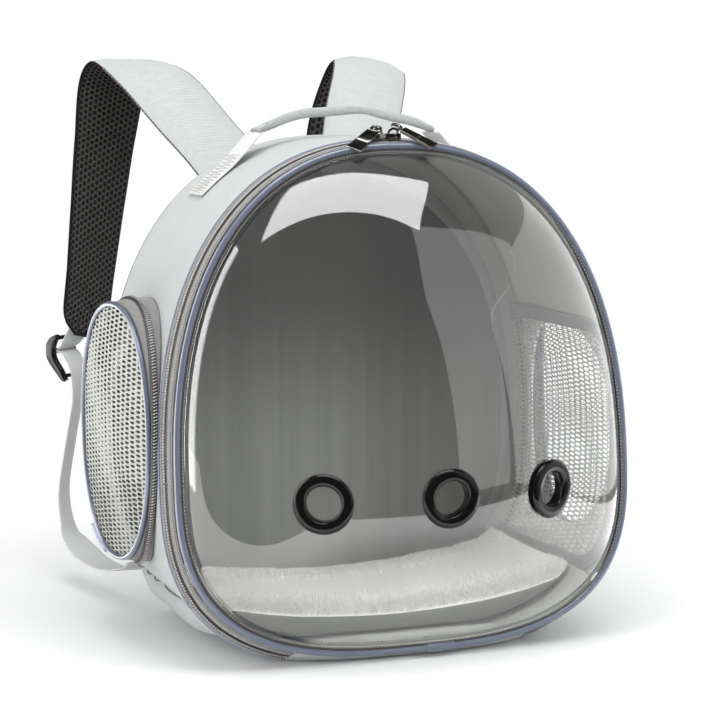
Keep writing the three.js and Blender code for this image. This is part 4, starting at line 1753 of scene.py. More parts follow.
@dataclass(frozen=True)
class NetCell:
    """One cell of a staggered net: a hole in a rounded frame of yarn."""

    column: float
    pitch: float
    hole_width: float
    hole_height: float
    relief: float

    def template(self, openness: float = 1.0) -> Shape:
        """The frame round one hole, drawn closed where its openness is low.

        Args:
            openness: Share of the hole's full size.

        Returns:
            The cell.
        """
        bm = bmesh.new()
        bmesh.ops.create_circle(bm, cap_ends=True, segments=12, radius=1)
        for _ in range(2):
            inner = max(bm.faces, key=lambda face: len(face.verts))
            bmesh.ops.inset_region(bm, faces=[inner], thickness=0.2, use_boundary=True)
        inner = max(bm.faces, key=lambda face: len(face.verts))
        bmesh.ops.delete(bm, geom=[inner], context="FACES_ONLY")
        for vert in bm.verts:
            radius = vert.co.length
            angle = math.atan2(vert.co.y, vert.co.x)
            outer, hole = self.corner(angle), self.hole(angle) * openness
            if radius > 0.95:
                vert.co = (*outer, self.relief)
            elif radius > 0.75:
                vert.co = (*outer.lerp(hole, 0.55), self.relief * 0.75)
            else:
                vert.co = (*hole, 0.0)
        return bm

    def hole(self, angle: float) -> Vector:
        """The hole's edge."""
        return Vector((self.hole_width / 2 * math.cos(angle), self.hole_height / 2 * math.sin(angle)))

    def corner(self, angle: float) -> Vector:
        """The cell's edge: a hexagon's corners and the middles of its sides.

        Args:
            angle: Angle round the cell.

        Returns:
            The nearest of these points.
        """
        third, half = self.column / 3, self.pitch / 2
        corners = [
            Vector((2 * third, 0)), Vector((third, half)), Vector((-third, half)),
            Vector((-2 * third, 0)), Vector((-third, -half)), Vector((third, -half)),
        ]
        place = (angle / math.tau * 12) % 12
        step = round(place) % 12
        first = corners[step // 2]
        return first if step % 2 == 0 else first.lerp(corners[(step // 2 + 1) % 6], 0.5)

    def centres(self, half_width: float, half_height: float) -> list[Vector]:
        """Cell centres over a rectangle.

        Args:
            half_width: Half the rectangle's width.
            half_height: Half its height.

        Returns:
            The centres.
        """
        found = []
        across, down = int(half_width / self.column) + 1, int(half_height / self.pitch) + 1
        for i in range(-across, across + 1):
            for j in range(-down, down + 1):
                found.append(Vector((i * self.column, (j + 0.5 * (i % 2)) * self.pitch)))
        return found

    def lay(
        self,
        centres: Sequence[Vector],
        place: Callable[[float, float, float], Vector],
        openness: Callable[[Vector], float] = lambda centre: 1.0,
    ) -> Shape:
        """Tiles the cell and lays it on a surface.

        Args:
            centres: Where the cells go, on the flat net.
            place: The point on the surface for a flat place and a height.
            openness: How open the hole is at a place on the flat net.

        Returns:
            The net as one sheet.
        """
        steps = 6
        groups: dict[int, list[Matrix]] = {}
        for centre in centres:
            groups.setdefault(round(openness(centre) * steps), []).append(Matrix.Translation((*centre, 0)))
        bm = bmesh.new()
        for step, frames in groups.items():
            flat = tile(self.template(step / steps), frames)
            bm.from_mesh(flat)
            bpy.data.meshes.remove(flat)
        bmesh.ops.remove_doubles(bm, verts=bm.verts, dist=0.02 * MM)
        for vert in bm.verts:
            vert.co = place(*vert.co)
        bmesh.ops.dissolve_degenerate(bm, edges=bm.edges, dist=0.02 * MM)
        return bm


def thicken(piece: Piece, thickness: float) -> None:
    """Gives a net the thickness of its yarn.

    Args:
        piece: The net.
        thickness: The yarn's thickness.
    """
    wall = piece.modifiers.new("yarn", "SOLIDIFY")
    wall.thickness = thickness
    wall.offset = 0.0


WIDE_NET = NetCell(9.6 * MM, 3.7 * MM, 8.8 * MM, 2.75 * MM, 0.25 * MM)
WINDOW_NET = NetCell(9.9 * MM, 3.85 * MM, 9.6 * MM, 3.05 * MM, 0.15 * MM)
SPACER_NET = NetCell(4.9 * MM, 5.2 * MM, 4.0 * MM, 3.8 * MM, 0.9 * MM)


# Side pockets


@dataclass
class Sided:
    """A sub-assembly that the carrier has on each side."""

    side: Side

    @property
    def sign(self) -> float:
        """The sign of x on this side."""
        return self.side.value

    def add(self, name: str, shape: Shape | bpy.types.Mesh, finish: Finish, solid: str = "") -> Piece:
        """Makes a piece of this side, which may stand for a solid of this side."""
        solids = [f"{solid}_{self.side.label}"] if solid else []
        return add_piece(f"{name}_{self.side.label}", shape, finish, solids)


@dataclass
class SidePocket(Sided):
    """A mesh pocket: gusset, zip, piping and net."""

    filled: bool
    oval: Oval = Oval(0.123, 0.170, 0.077, 0.100, 2.2)
    front: float = 0.197
    rear: float = 0.210
    flare: float = 3 * MM
    crown: float = 5 * MM
    piping_radius: float = 2.1 * MM
    wave: Ripple = Ripple((22, 16, 1), 2.2 * MM)
    drawn: Ripple = Ripple((40, 40, 1), 0.10)
    fold_reach: float = 0.016
    coil_radius: float = 3.0 * MM
    tooth_pitch: float = 2.5 * MM
    tooth_slant: float = math.radians(22)
    tooth: Triple = (1.5 * MM, 4.8 * MM, 1.6 * MM)

    def build(self) -> None:
        """Makes the pocket's pieces."""
        self.gusset()
        self.zip()
        self.net()

    def face_reach(self, y: float, z: float) -> float:
        """The face's distance from the middle; an empty pocket lies close to the wall.

        Args:
            y: Place from front to back.
            z: Height.

        Returns:
            The distance.
        """
        share = (y - self.oval.y) / (2 * self.oval.half_depth) + 0.5
        full = lerp(self.front, self.rear, share)
        if self.filled:
            return full
        return min(full, FORM.side_reach(y, z) + lerp(5, 9, ease(share)) * MM)

    def side_point(self, angle: float, grow: float, raise_: float) -> Vector:
        """A point of the gusset, from the wall at raise 0 to the face at 1.

        Args:
            angle: Angle round the pocket.
            grow: How far the rim is grown.
            raise_: Share of the way to the face.

        Returns:
            The point.
        """
        y, z = self.oval.rim(angle, grow)
        wall = FORM.side_reach(y, z) + 0.5 * MM
        face = self.face_reach(y, z) - self.piping_radius * 0.8
        return FORM.at(self.sign * lerp(wall, face, raise_), y, z)

    def gusset(self) -> None:
        """The cloth wall round the pocket."""
        steps = 96
        angles = [math.tau * i / steps for i in range(steps)]
        walls = [(self.side_point(a, self.flare, 0), self.side_point(a, 0, 1)) for a in angles]

        def place(u: float, v: float) -> Vector:
            """A point of the gusset's outer or inner face."""
            index = round(u * steps) % steps
            foot, head = walls[index]
            outside, run = shell(v)
            point = foot.lerp(head, run)
            puff = math.sin(math.pi * run) * 1.0 * MM
            return point + self.away(point) * (puff if outside else -1.6 * MM)

        skin = tube(steps, 16, place, (0.57, 0.05), True)
        self.add("gusset", skin, GUSSET, "pocket_gusset")

    def away(self, point: Vector) -> Vector:
        """The way from the pocket's middle to a point of its gusset."""
        return Vector((0, point.y - FORM.at(0, self.oval.y, 0).y, point.z - self.oval.z)).normalized()

    def zip_line(self, lift: float, start: float, end: float) -> Path:
        """A line along the gusset's zip.

        Args:
            lift: Height over the gusset.
            start: Angle where it starts.
            end: Angle where it ends.

        Returns:
            The path.
        """

        def run(share: float) -> Spot:
            """The point and the normal at a share of the zip."""
            angle = lerp(start, end, share)
            here = self.side_point(angle, self.flare / 2 + lift, 0.5)
            return here, self.away(here)

        return run

    def zip(self) -> None:
        """Dark teeth along the front of the gusset and the pull at their rear end."""
        start, end = math.radians(-80), math.radians(165)
        core = cord_skin(self.zip_line(0.4 * MM, start, end), self.coil_radius, 120, 8)
        self.add("pocket_coil", core, COIL_CORE, "pocket_zip")
        frames = spaced(self.zip_line(2.7 * MM, start, end), self.tooth_pitch, 200)
        slant = Matrix.Rotation(self.tooth_slant, 4, "Z")
        teeth = tile(moved(bead(*self.tooth), slant), frames)
        self.add("pocket_teeth", teeth, COIL)
        plated(f"pocket_pull_{self.side.label}", 0.5 * MM)

    def net(self) -> None:
        """The pocket's piping and its open net."""

        def piping(share: float) -> Spot:
            """The piping's line round the face."""
            y, z = self.oval.rim(share * math.tau, -1 * MM)
            return FORM.at(self.sign * self.face_reach(y, z), y, z), Vector((self.sign, 0, 0))

        cord = cord_skin(piping, self.piping_radius, 120, 12, True)
        self.add("pocket_cord", cord, PIPING, "pocket_piping")

        def cord_end(share: float) -> Spot:
            """The loose end of the piping."""
            y, z = self.oval.rim(math.radians(lerp(-128, -104, share)), lerp(3.2, 0.6, share) * MM)
            return FORM.at(self.sign * (self.face_reach(y, z) + 0.6 * MM), y, z), Vector((self.sign, 0, 0))

        end = cord_skin(cord_end, self.piping_radius * 1.15, 16, 12)
        self.add("pocket_cord_end", end, WELT)
        edge = -2.2 * MM

        def place(u: float, w: float, lift: float) -> Vector:
            """A point of the net on the pocket's face."""
            y, z = self.oval.kept(self.oval.y + u, self.oval.z + w, edge)
            radius = min(1.0, self.oval.radius(y, z, edge))
            slack = (self.crown + self.wave.at(y, z, self.sign)) * (1 - radius**2)
            return FORM.at(self.sign * (self.face_reach(y, z) + slack - 0.9 * MM + lift), y, z)

        def openness(centre: Vector) -> float:
            """How open the holes are, less where the net is drawn into a fold."""
            if not self.filled:
                return 1.1
            fold = bell(centre.x * 0.85 - centre.y * 0.5 - 0.022, self.fold_reach)
            return 0.78 + 0.2 * ease(-centre.y / 0.07) - 0.30 * fold + self.drawn.at(*centre, 2)

        net = WIDE_NET.lay(self.oval.cells(WIDE_NET, edge), place, openness)
        piece = self.add("pocket_net", net, NET, "pocket_mesh")
        thicken(piece, 0.3 * MM if self.filled else 0.2 * MM)


@dataclass
class SideWindow(Sided):
    """The net window over the inside of the wall's opening, with its binding."""

    finish: Finish
    oval: ClassVar[Oval] = Oval(0.1305, 0.1465, 0.0855, 0.0925, 9.0)
    binding: float = 11 * MM
    draw_in: float = 3 * MM
    wave: Ripple = Ripple((30, 20, 1), 1.0 * MM)

    @classmethod
    def covers(cls, point: Vector) -> bool:
        """Whether the net lies over a point of the inner wall."""
        return abs(point.x) > SIDE_FROM and cls.oval.radius(point.y - FORM.at(0, 0, 0).y, point.z) < 1

    def reach(self, y: float, z: float, inset: float) -> float:
        """The net's distance from the middle, drawn in towards the back seam."""
        return FORM.side_reach(y, z, inset) - self.draw_in * ease((y - 0.10) / 0.10)

    def build(self) -> None:
        """Makes the net and its binding."""

        def place(u: float, w: float, lift: float) -> Vector:
            """A point of the net."""
            y, z = self.oval.kept(self.oval.y + u, self.oval.z + w)
            wave = self.wave.at(y, z, 5 + self.sign)
            return FORM.at(self.sign * (self.reach(y, z, 5.2 * MM) + wave - lift), y, z)

        net = WINDOW_NET.lay(self.oval.cells(WINDOW_NET), place)
        piece = self.add("window_net", net, self.finish, "window_mesh")
        thicken(piece, 0.25 * MM)

        def frame_place(u: float, v: float) -> Vector:
            """A point of the binding."""
            across, up = section(v, 4, 2)
            grow = self.binding / 2 - (self.binding / 2 + 0.4 * MM) * across
            y, z = self.oval.rim(u * math.tau, grow)
            return FORM.at(self.sign * self.reach(y, z, 4.6 * MM + 0.7 * MM * up), y, z)

        border = tube(96, 12, frame_place, (0.66, 0.02), True)
        self.add("window_edge", border, BINDING, "window_binding")


# Fleece mat


@dataclass
class FleeceMat:
    """The mat on the floor: a soft pad under a pile of tufts."""

    half_width: float = 0.156
    front: float = 0.046
    back: float = 0.209
    thick: float = 0.021
    pile: float = 3.2 * MM
    tufts: int = 26000
    end_rise: float = 0.017
    lumps: Ripple = Ripple((40, 40, 1), 1.6 * MM)

    def build(self) -> None:
        """Makes the pad and its pile."""
        pad = add_piece("mat_pad", tube(60, 40, self.surface, (0.3, 0.36)), FLEECE, ["fleece_mat"])
        repaint(pad, CORNER_LINING, lambda face: face.normal.z <= 0.3)
        self.pile_of_tufts()

    def surface(self, u: float, v: float) -> Vector:
        """The pad's skin, from end to end and round its section.

        Args:
            u: Share from end to end.
            v: Share round the section.

        Returns:
            The point.
        """
        x = lerp(-self.half_width, self.half_width, u) * 0.99
        angle = v * math.tau
        middle, half = (self.front + self.back) / 2, (self.back - self.front) / 2
        end = (1 - abs(2 * u - 1) ** 8) ** 0.25
        y = middle + (half - self.pile * 0.4) * bend(math.cos(angle), 9) * lerp(0.9, 1.0, end)
        foot = FORM.floor(x) + 0.9 * MM
        level = FORM.floor(0) + self.thick - self.pile * 0.75 + self.end_rise * abs(2 * u - 1) ** 1.6
        top = max(level - foot, 5 * MM)
        z = foot + top * (0.5 + 0.5 * end * bend(math.sin(angle), 6))
        return FORM.at(x, y, z + self.lumps.at(x, y, 3) * max(0.0, math.sin(angle)))

    def pile_of_tufts(self) -> None:
        """Short curved tufts that lean together in clumps."""
        rng = np.random.default_rng(SEED)
        template = bmesh.new()
        bmesh.ops.create_grid(template, x_segments=1, y_segments=2, size=0.5)
        frames = []
        spots = rng.random((self.tufts, 5))
        for a, b, c, d, e in spots:
            v = math.acos(lerp(0.97, -0.97, b)) / math.tau
            here = self.surface(a, v)
            ahead = self.surface(min(1.0, a + 0.01), v) - self.surface(max(0.0, a - 0.01), v)
            normal = ahead.cross(Vector((0, 1, 0))).normalized()
            clump = Vector((noise.noise(here * 120), noise.noise(here * 120 + Vector((7, 3, 1))), 0)) * 0.8
            up = (normal + clump + Vector((c - 0.5, d - 0.5, 0)) * 0.9).normalized()
            side = up.cross(Vector((math.cos(e * math.tau), math.sin(e * math.tau), 0.2))).normalized()
            length = self.pile * lerp(0.6, 1.5, e)
            width = lerp(0.5, 1.0, d) * MM
            columns = (side * width, up * length, side.cross(up) * width)
            turn = Matrix(columns).transposed().to_4x4()
            frames.append(Matrix.Translation(here + up * length * 0.35) @ turn)
        for vert in template.verts:
            share = vert.co.y + 0.5
            vert.co.x *= lerp(1.0, 0.25, share**2)
            vert.co.z = 0.8 * share * share
        add_piece("mat_pile", tile(template, frames), FLEECE)


# Bands: straps, webbing and handle


@dataclass(frozen=True)
class Stop:
    """A point of a band's route, and the yaw and roll of its width there."""

    x: float
    y: float
    z: float
    yaw: float = 0.0
    roll: float = 0.0


class Band:
    """A flat band along a smooth route."""

    def __init__(self, stops: Sequence[Stop], side: float) -> None:
        """Works out the route.

        Args:
            stops: Its points, in millimetres, for the right side.
            side: 1 for the right side and -1 for the left.
        """
        self.stops = stops
        self.side = side
        self.points = [FORM.at(side * s.x * MM, s.y * MM, s.z * MM) for s in stops]

    def centre(self, share: float) -> Vector:
        """The middle of the band.

        Args:
            share: Share of the route.

        Returns:
            The point.
        """
        last = len(self.points) - 2
        place = share * (last + 1)
        index = min(int(place), last)
        t = place - index
        p = self.points
        before = p[index - 1] if index else p[0] * 2 - p[1]
        after = p[index + 2] if index < last else p[-1] * 2 - p[-2]
        a, b = p[index], p[index + 1]
        bow = (b - before) / 6
        sag = (after - a) / 6
        s = 1 - t
        return a * s**3 + (a + bow) * (3 * s * s * t) + (b - sag) * (3 * s * t * t) + b * t**3

    def axes(self, share: float) -> tuple[Vector, Vector, Vector]:
        """The band's length, width and thickness directions.

        Args:
            share: Share of the route.

        Returns:
            Three unit vectors.
        """
        step = 0.004
        along = (self.centre(min(1, share + step)) - self.centre(max(0, share - step))).normalized()
        place = share * (len(self.stops) - 1)
        index = min(int(place), len(self.stops) - 2)
        first, second = self.stops[index], self.stops[index + 1]
        yaw = self.side * math.radians(lerp(first.yaw, second.yaw, place - index))
        roll = self.side * math.radians(lerp(first.roll, second.roll, place - index))
        across = Vector((math.cos(yaw), math.sin(yaw), math.sin(roll)))
        across = (across - along * across.dot(along)).normalized()
        return along, across, along.cross(across).normalized()

    def point(self, share: float, across: float, up: float) -> Vector:
        """A point so far across the band and off its middle."""
        _, wide, thick = self.axes(share)
        return self.centre(share) + wide * across + thick * up

    @cached_property
    def length(self) -> float:
        """The route's length."""
        marks = [self.centre(i / 60) for i in range(61)]
        return sum((b - a).length for a, b in zip(marks, marks[1:]))

    def skin(self, width: float, thick: float, columns: int, power: float = 6.0) -> Shape:
        """A closed band of even width with rounded edges.

        Args:
            width: The band's width.
            thick: Its thickness.
            columns: Faces along it.
            power: How square its edges are.

        Returns:
            The band.
        """

        def place(u: float, v: float) -> Vector:
            """A point of the band's skin."""
            across, up = section(v, power, 2.5)
            return self.point(u, width / 2 * across, thick / 2 * up)

        return tube(columns, 20, place, (self.length, 2 * width))


STRAP_ROOT = (Stop(43, 230.7, 318), Stop(55, 268, 363))
STRAP_ROUTE = {
    Side.LEFT: (
        *STRAP_ROOT,
        Stop(77, 320, 405),
        Stop(101, 364, 444),
        Stop(119, 393, 455, -4),
        Stop(130, 407, 440, -12),
        Stop(138, 411, 390, -24),
        Stop(147, 407, 330, -32),
        Stop(156, 401, 270, -38),
        Stop(165, 394, 214, -40),
    ),
    Side.RIGHT: (
        *STRAP_ROOT,
        Stop(77, 320, 405, 0, -3),
        Stop(101, 364, 444, 0, -7),
        Stop(110, 392, 457, -2, -10),
        Stop(105, 410, 440, -4, -8),
        Stop(92, 417, 390, -6, -4),
        Stop(90, 412, 330, -8),
        Stop(96, 405, 270, -10),
        Stop(104, 397, 214, -12),
    ),
}
LOCK_SHIFT = (8.0, 0.0, 11.0)
LOCK_LOOP = ((6.5, 16.5), (3.0, 10.0), (-1.0, 6.5), (-4.5, 3.0))
LOCK_TRAIL = ((-3.0, 4.5), (3.5, 3.0), (9.0, -4.0), (13.0, -12.0), (14.0, -21.0))
LOCK_RAIL = (
    (1.3, 19.0, 1.2), (-3.0, 15.0, 3.1), (-5.8, 10.3, 3.9), (-6.4, 5.3, 4.0), (-5.8, 0.0, 3.9),
    (-2.5, -5.7, 3.5), (3.0, -12.4, 3.1), (7.3, -18.4, 2.4), (9.8, -20.5, 1.2),
)
LOCK_BARS = ((0.5, 17.0), (-5.0, 5.0), (6.5, -17.0))
WEBBING_TRAIL = ((2, -12, 156), (9, -13, 120), (16, -16, 78), (16, -36, 48))
WEBBING_END = (Stop(179, 322, 31, 15), Stop(170, 272, 28, 12), Stop(159, 238, 34, 4), Stop(157, 221.8, 42))


@dataclass
class ShoulderStrap(Sided):
    """A padded strap with spacer net inside, and the webbing and lock below it."""

    width: float = 0.068
    thick: float = 0.011
    webbing_width: float = 0.025
    webbing_thick: float = 2 * MM
    net_margin: float = 2 * MM
    dark_from: float = -0.35
    creases: Ripple = Ripple((60, 70, 1), 1.8 * MM)
    rounding: float = 0.026
    least_share: float = 0.42
    overlock_to: float = 0.44
    overlock_pitch: float = 2.0 * MM
    overlock: Triple = (2.6 * MM, 1.6 * MM, 2.6 * MM)
    lock_half: float = 14.5 * MM
    bar_radius: float = 1.9 * MM

    def build(self) -> None:
        """Makes the strap, its lock and its webbing."""
        self.padding()
        self.net()
        self.lower_end()

    @cached_property
    def band(self) -> Band:
        """The strap's route."""
        return Band(STRAP_ROUTE[self.side], self.sign)

    @cached_property
    def marks(self) -> list[tuple[float, Vector]]:
        """Points along the route with their shares of it."""
        return [(i / 150, self.band.centre(i / 150)) for i in range(151)]

    def half_width(self, share: float) -> float:
        """Half the strap's width, rounded off at its lower end.

        Args:
            share: Share of the route.

        Returns:
            The half width.
        """
        left = (1 - share) * self.band.length
        reach = self.rounding
        round_off = 1.0 if left > reach else math.sqrt(max(0.0, 1 - (1 - left / reach) ** 2.6))
        return self.width / 2 * max(self.least_share, round_off)

    def padding(self) -> None:
        """The cloth outside and the dark pad under the net."""

        def place(u: float, v: float) -> Vector:
            """A point of the pad's skin."""
            across, up = section(v, 5, 2)
            half = self.half_width(u)
            across *= half
            if up > 0:
                up = self.net_height(u, across) - 0.3 * MM
            else:
                up = self.thick * (0.26 - 0.76 * max(0.0, 1 - (abs(across) / half) ** 2.6))
            return self.band.point(u, across, up)

        pad = self.add("strap_pad", tube(110, 40, place, (0.5, 0.15)), CLOTH, "strap")

        def dark(face: Face) -> bool:
            """Whether a face belongs to the pad under the net."""
            thick = self.band.axes(self.nearest(Vector(face.center)))[2]
            return face.normal.dot(thick) > self.dark_from

        repaint(pad, SPACER_PAD, dark)

    def net_height(self, share: float, across: float) -> float:
        """How far the strap's inner face lies off its middle, creased towards the lower end.

        Args:
            share: Share of the route.
            across: Place across the strap.

        Returns:
            The distance.
        """
        crease = self.creases.at(across, share, 3 + self.sign) * ease((share - 0.86) / 0.1)
        edge = 1 - (abs(across) / self.half_width(share)) ** 8
        return 0.36 * self.thick + crease * max(0.0, edge)

    def nearest(self, point: Vector) -> float:
        """The share of the route that lies nearest to a point."""
        return min(self.marks, key=lambda mark: (mark[1] - point).length_squared)[0]

    def net(self) -> None:
        """The spacer net on the strap's inner face, and its bound edges."""
        length = self.band.length
        cell = SPACER_NET
        half = self.width / 2 - self.net_margin
        kept = []
        for centre in cell.centres(half, length / 2):
            share = centre.y / length + 0.5
            if 0.01 < share < 0.992 and abs(centre.x) < self.half_width(share) - self.net_margin:
                kept.append(centre)

        def place(u: float, w: float, lift: float) -> Vector:
            """A point of the net."""
            share = min(1.0, max(0.0, w / length + 0.5))
            reach = self.half_width(share) - self.net_margin
            across = min(reach, max(-reach, u))
            return self.band.point(share, across, self.net_height(share, across) + lift)

        self.add("strap_net", cell.lay(kept, place), SPACER)
        for edge_name, edge in (("inner", -1.0), ("outer", 1.0)):

            def run(part: float, edge: float = edge) -> Spot:
                """A stretch of the strap's bound edge."""
                share = part * self.overlock_to
                across = edge * (self.half_width(share) - 0.2 * MM)
                return self.band.point(share, across, 0.30 * self.thick), self.band.axes(share)[2]

            frames = spaced(run, self.overlock_pitch, 200)
            for thread, first, finish in (("dark", 0, DARK_THREAD), ("pale", 1, ASH_THREAD)):
                stitches = tile(bead(*self.overlock), frames[first::2])
                self.add(f"strap_overlock_{thread}_{edge_name}", stitches, finish)

    def lower_end(self) -> None:
        """The loop, the ladder lock and the adjusting webbing."""
        end = self.band.stops[-1]
        foot = Stop(end.x + 5, end.y, end.z - 27.5, end.yaw)
        seat = Stop(foot.x + LOCK_SHIFT[0], foot.y + LOCK_SHIFT[1], foot.z + LOCK_SHIFT[2], end.yaw)
        yaw = math.radians(end.yaw)

        def at_lock(out: float, up: float) -> Stop:
            """A stop so far out of the lock's middle and up from it."""
            return Stop(seat.x + out * math.sin(yaw), seat.y - out * math.cos(yaw), seat.z + up, end.yaw)

        loop = [Stop(end.x, end.y, end.z + 8, end.yaw), *(at_lock(*row) for row in LOCK_LOOP)]
        trail = [at_lock(*row) for row in LOCK_TRAIL]
        trail += [Stop(foot.x + x, foot.y + y, z, end.yaw - 16) for x, y, z in WEBBING_TRAIL]
        trail += WEBBING_END
        for name, stops, columns in (("strap_loop", loop, 30), ("strap_webbing", trail, 120)):
            skin = Band(stops, self.sign).skin(self.webbing_width, self.webbing_thick, columns)
            self.add(f"{name}_band", skin, WEBBING, name)
        node = f"ladder_lock_{self.side.label}"
        rail = Band([at_lock(out, up) for out, up, _ in LOCK_RAIL], self.sign)
        parts = [self.lock_rail(rail, end_side * self.lock_half) for end_side in (-1, 1)]
        parts += [self.lock_bar(at_lock(out, up)) for out, up in LOCK_BARS]
        add_piece(f"{node}_frame", joined(parts), BLACK, [node])

    def lock_rail(self, rail: Band, offset: float) -> Shape:
        """One curved side of the ladder lock, thick at its middle.

        Args:
            rail: The rail's route.
            offset: Its distance from the lock's middle.

        Returns:
            The rail.
        """
        shares = np.linspace(0, 1, len(LOCK_RAIL))
        halves = [row[2] * MM for row in LOCK_RAIL]

        def place(u: float, v: float) -> Vector:
            """A point of the rail's skin."""
            across, up = section(v, 3.4, 4)
            half = float(np.interp(u, shares, halves))
            return rail.point(u, offset + 3.0 * MM * across, half * up * 1.2)

        return tube(36, 20, place)

    def lock_bar(self, seat: Stop) -> Shape:
        """A bar between the sides of the ladder lock.

        Args:
            seat: The bar's middle.

        Returns:
            The bar.
        """
        yaw = self.sign * math.radians(seat.yaw)
        middle = FORM.at(self.sign * seat.x * MM, seat.y * MM, seat.z * MM)
        reach = Vector((math.cos(yaw), math.sin(yaw), 0)) * 15 * MM

        def run(share: float) -> Spot:
            """The bar's line."""
            return middle + reach * (2 * share - 1), Vector((0, 0, 1))

        return cord_skin(run, self.bar_radius, 6, 12)


@dataclass
class CarryHandle:
    """Webbing sewn on both shoulders, and the rolled grip between them."""

    y: float = 0.160
    webbing: float = 0.038
    thick: float = 2 * MM
    end: float = 0.076
    end_height: float = 0.401
    top: float = 0.417
    radius: float = 4.5 * MM
    stitch_pitch: float = 2.8 * MM
    stitch: Triple = (2.7 * MM, 1.2 * MM, 1.0 * MM)

    def build(self) -> None:
        """Makes the two webbing ends, their stitching and the grip."""
        off = self.thick / 2 + 0.6 * MM
        sewn = ((0.126, 0), (0.114, 0), (0.099, 2 * MM))
        rows = [(x, FORM.top_height(x, self.y) + off + lift) for x, lift in sewn]
        rows += [(0.0852, self.end_height - 12 * MM), (0.0762, self.end_height - 2 * MM)]
        stops = [Stop(x / MM, self.y / MM, z / MM, 90) for x, z in rows]
        for side in Side:
            band = Band(stops, side.value)
            skin = band.skin(self.webbing, self.thick, 40)
            add_piece(f"handle_foot_{side.label}", skin, FOOT_WEBBING, [f"handle_webbing_{side.label}"])
            self.zigzag(side, band)

        def place_grip(u: float, v: float) -> Vector:
            """A point of the grip's skin."""
            x = lerp(-self.end, self.end, u)
            share = x / self.end
            z = lerp(self.top, self.end_height, share**2)
            angle = v * math.tau
            seam = 1 + 0.08 * math.cos(3 * angle) - 0.2 * bell(u - 0.62, 0.06)
            flat = ease((abs(share) - 0.84) / 0.16)
            y = self.radius * math.cos(angle) * seam * lerp(1.0, 2.2, flat)
            rise = self.radius * math.sin(angle) * seam * lerp(0.85, 0.6, flat)
            return FORM.at(x, self.y + y, z + rise + 0.7 * MM * math.sin(share * 9))

        grip = add_piece("grip_roll", tube(60, 24, place_grip, (0.16, 0.04)), GRIP_CLOTH, ["handle_grip"])

    def zigzag(self, side: Side, band: Band) -> None:
        """Zigzag stitches over the sewn foot of the webbing.

        Args:
            side: Which side.
            band: The webbing's route.
        """
        low, high, turns = 0.03, 0.62, 13
        reach = self.webbing / 2 - 4 * MM
        sign = band.axes(0.2)[2].z

        def run(share: float) -> Spot:
            """The zigzag line."""
            wave = 2 * abs((share * turns) % 1 - 0.5) * 2 - 1
            along = lerp(low, high, share)
            up = band.axes(along)[2] * math.copysign(1, sign)
            return band.point(along, reach * wave, math.copysign(self.thick / 2 + 0.1 * MM, sign)), up

        stitches = tile(bead(*self.stitch), spaced(run, self.stitch_pitch, 600))
        add_piece(f"handle_stitches_{side.label}", stitches, GREY_THREAD)


# Studio


@dataclass(frozen=True)
class SoftBox:
    """A rectangular studio light that faces a target."""

    name: str
    place: Triple
    target: Triple
    width: float
    height: float
    radiance: float
    roll: float = 0.0
    lights: bool = True
    mirrored: bool = True

    def build(self) -> None:
        """Makes the light."""
        data = bpy.data.lights.new(self.name, "AREA")
        data.shape = "RECTANGLE"
        data.size = self.width
        data.size_y = self.height
        data.energy = self.radiance * math.pi * self.width * self.height
        light = bpy.data.objects.new(self.name, data)
        bpy.context.scene.collection.objects.link(light)
        light.location = self.place
        light.visible_diffuse = self.lights
        light.visible_glossy = self.mirrored
        light.visible_transmission = self.mirrored
        light.rotation_mode = "QUATERNION"
        way = Vector(self.target) - Vector(self.place)
        turn = Quaternion((0, 0, 1), math.radians(self.roll))
        light.rotation_quaternion = way.to_track_quat("-Z", "Y") @ turn


SOFT_BOXES = (
    SoftBox("overhead", (0.12, -0.675, 1.6), (1.125, 0.118, 0.35), 1.70, 0.93, 3.3, 24.9, mirrored=False),
    SoftBox(
        "overhead_mirror", (0.139, -0.641, 1.609), (1.144, 0.152, 0.359),
        1.70, 0.86, 7.6, 24.9, lights=False,
    ),
    SoftBox(
        "left_strip", (-1.33, -0.50, 0.69), (-0.16, -0.165, 0.24),
        0.26, 1.5, 4.5, -15.5, mirrored=False,
    ),
    SoftBox("left_mirror", (-1.35, 0.40, 0.79), (0.0, 0.40, 0.79), 1.06, 1.54, 7.0, lights=False),
    SoftBox("right_board", (1.21, -0.79, 0.42), (0.005, -0.303, 0.42), 1.6, 1.6, 1.0, -25.0, mirrored=False),
    SoftBox(
        "front_mirror", (1.265, -1.425, 0.665), (1.286, -0.263, 0.487),
        1.27, 1.75, 1.25, 3.0, lights=False,
    ),
    SoftBox("right_mirror", (1.9, -0.06, 0.68), (0.0, -0.06, 0.68), 2.6, 1.7, 1.4, lights=False),
    SoftBox("panel", (0.1, -0.1, 2.0), (0.0, 0.0, 0.0), 1.6, 1.6, 0.7, mirrored=False),
    SoftBox("left_fill", (-1.2, -1.2, 0.6), (0.1, 0.0, 0.25), 1.0, 1.0, 1.6, mirrored=False),
)


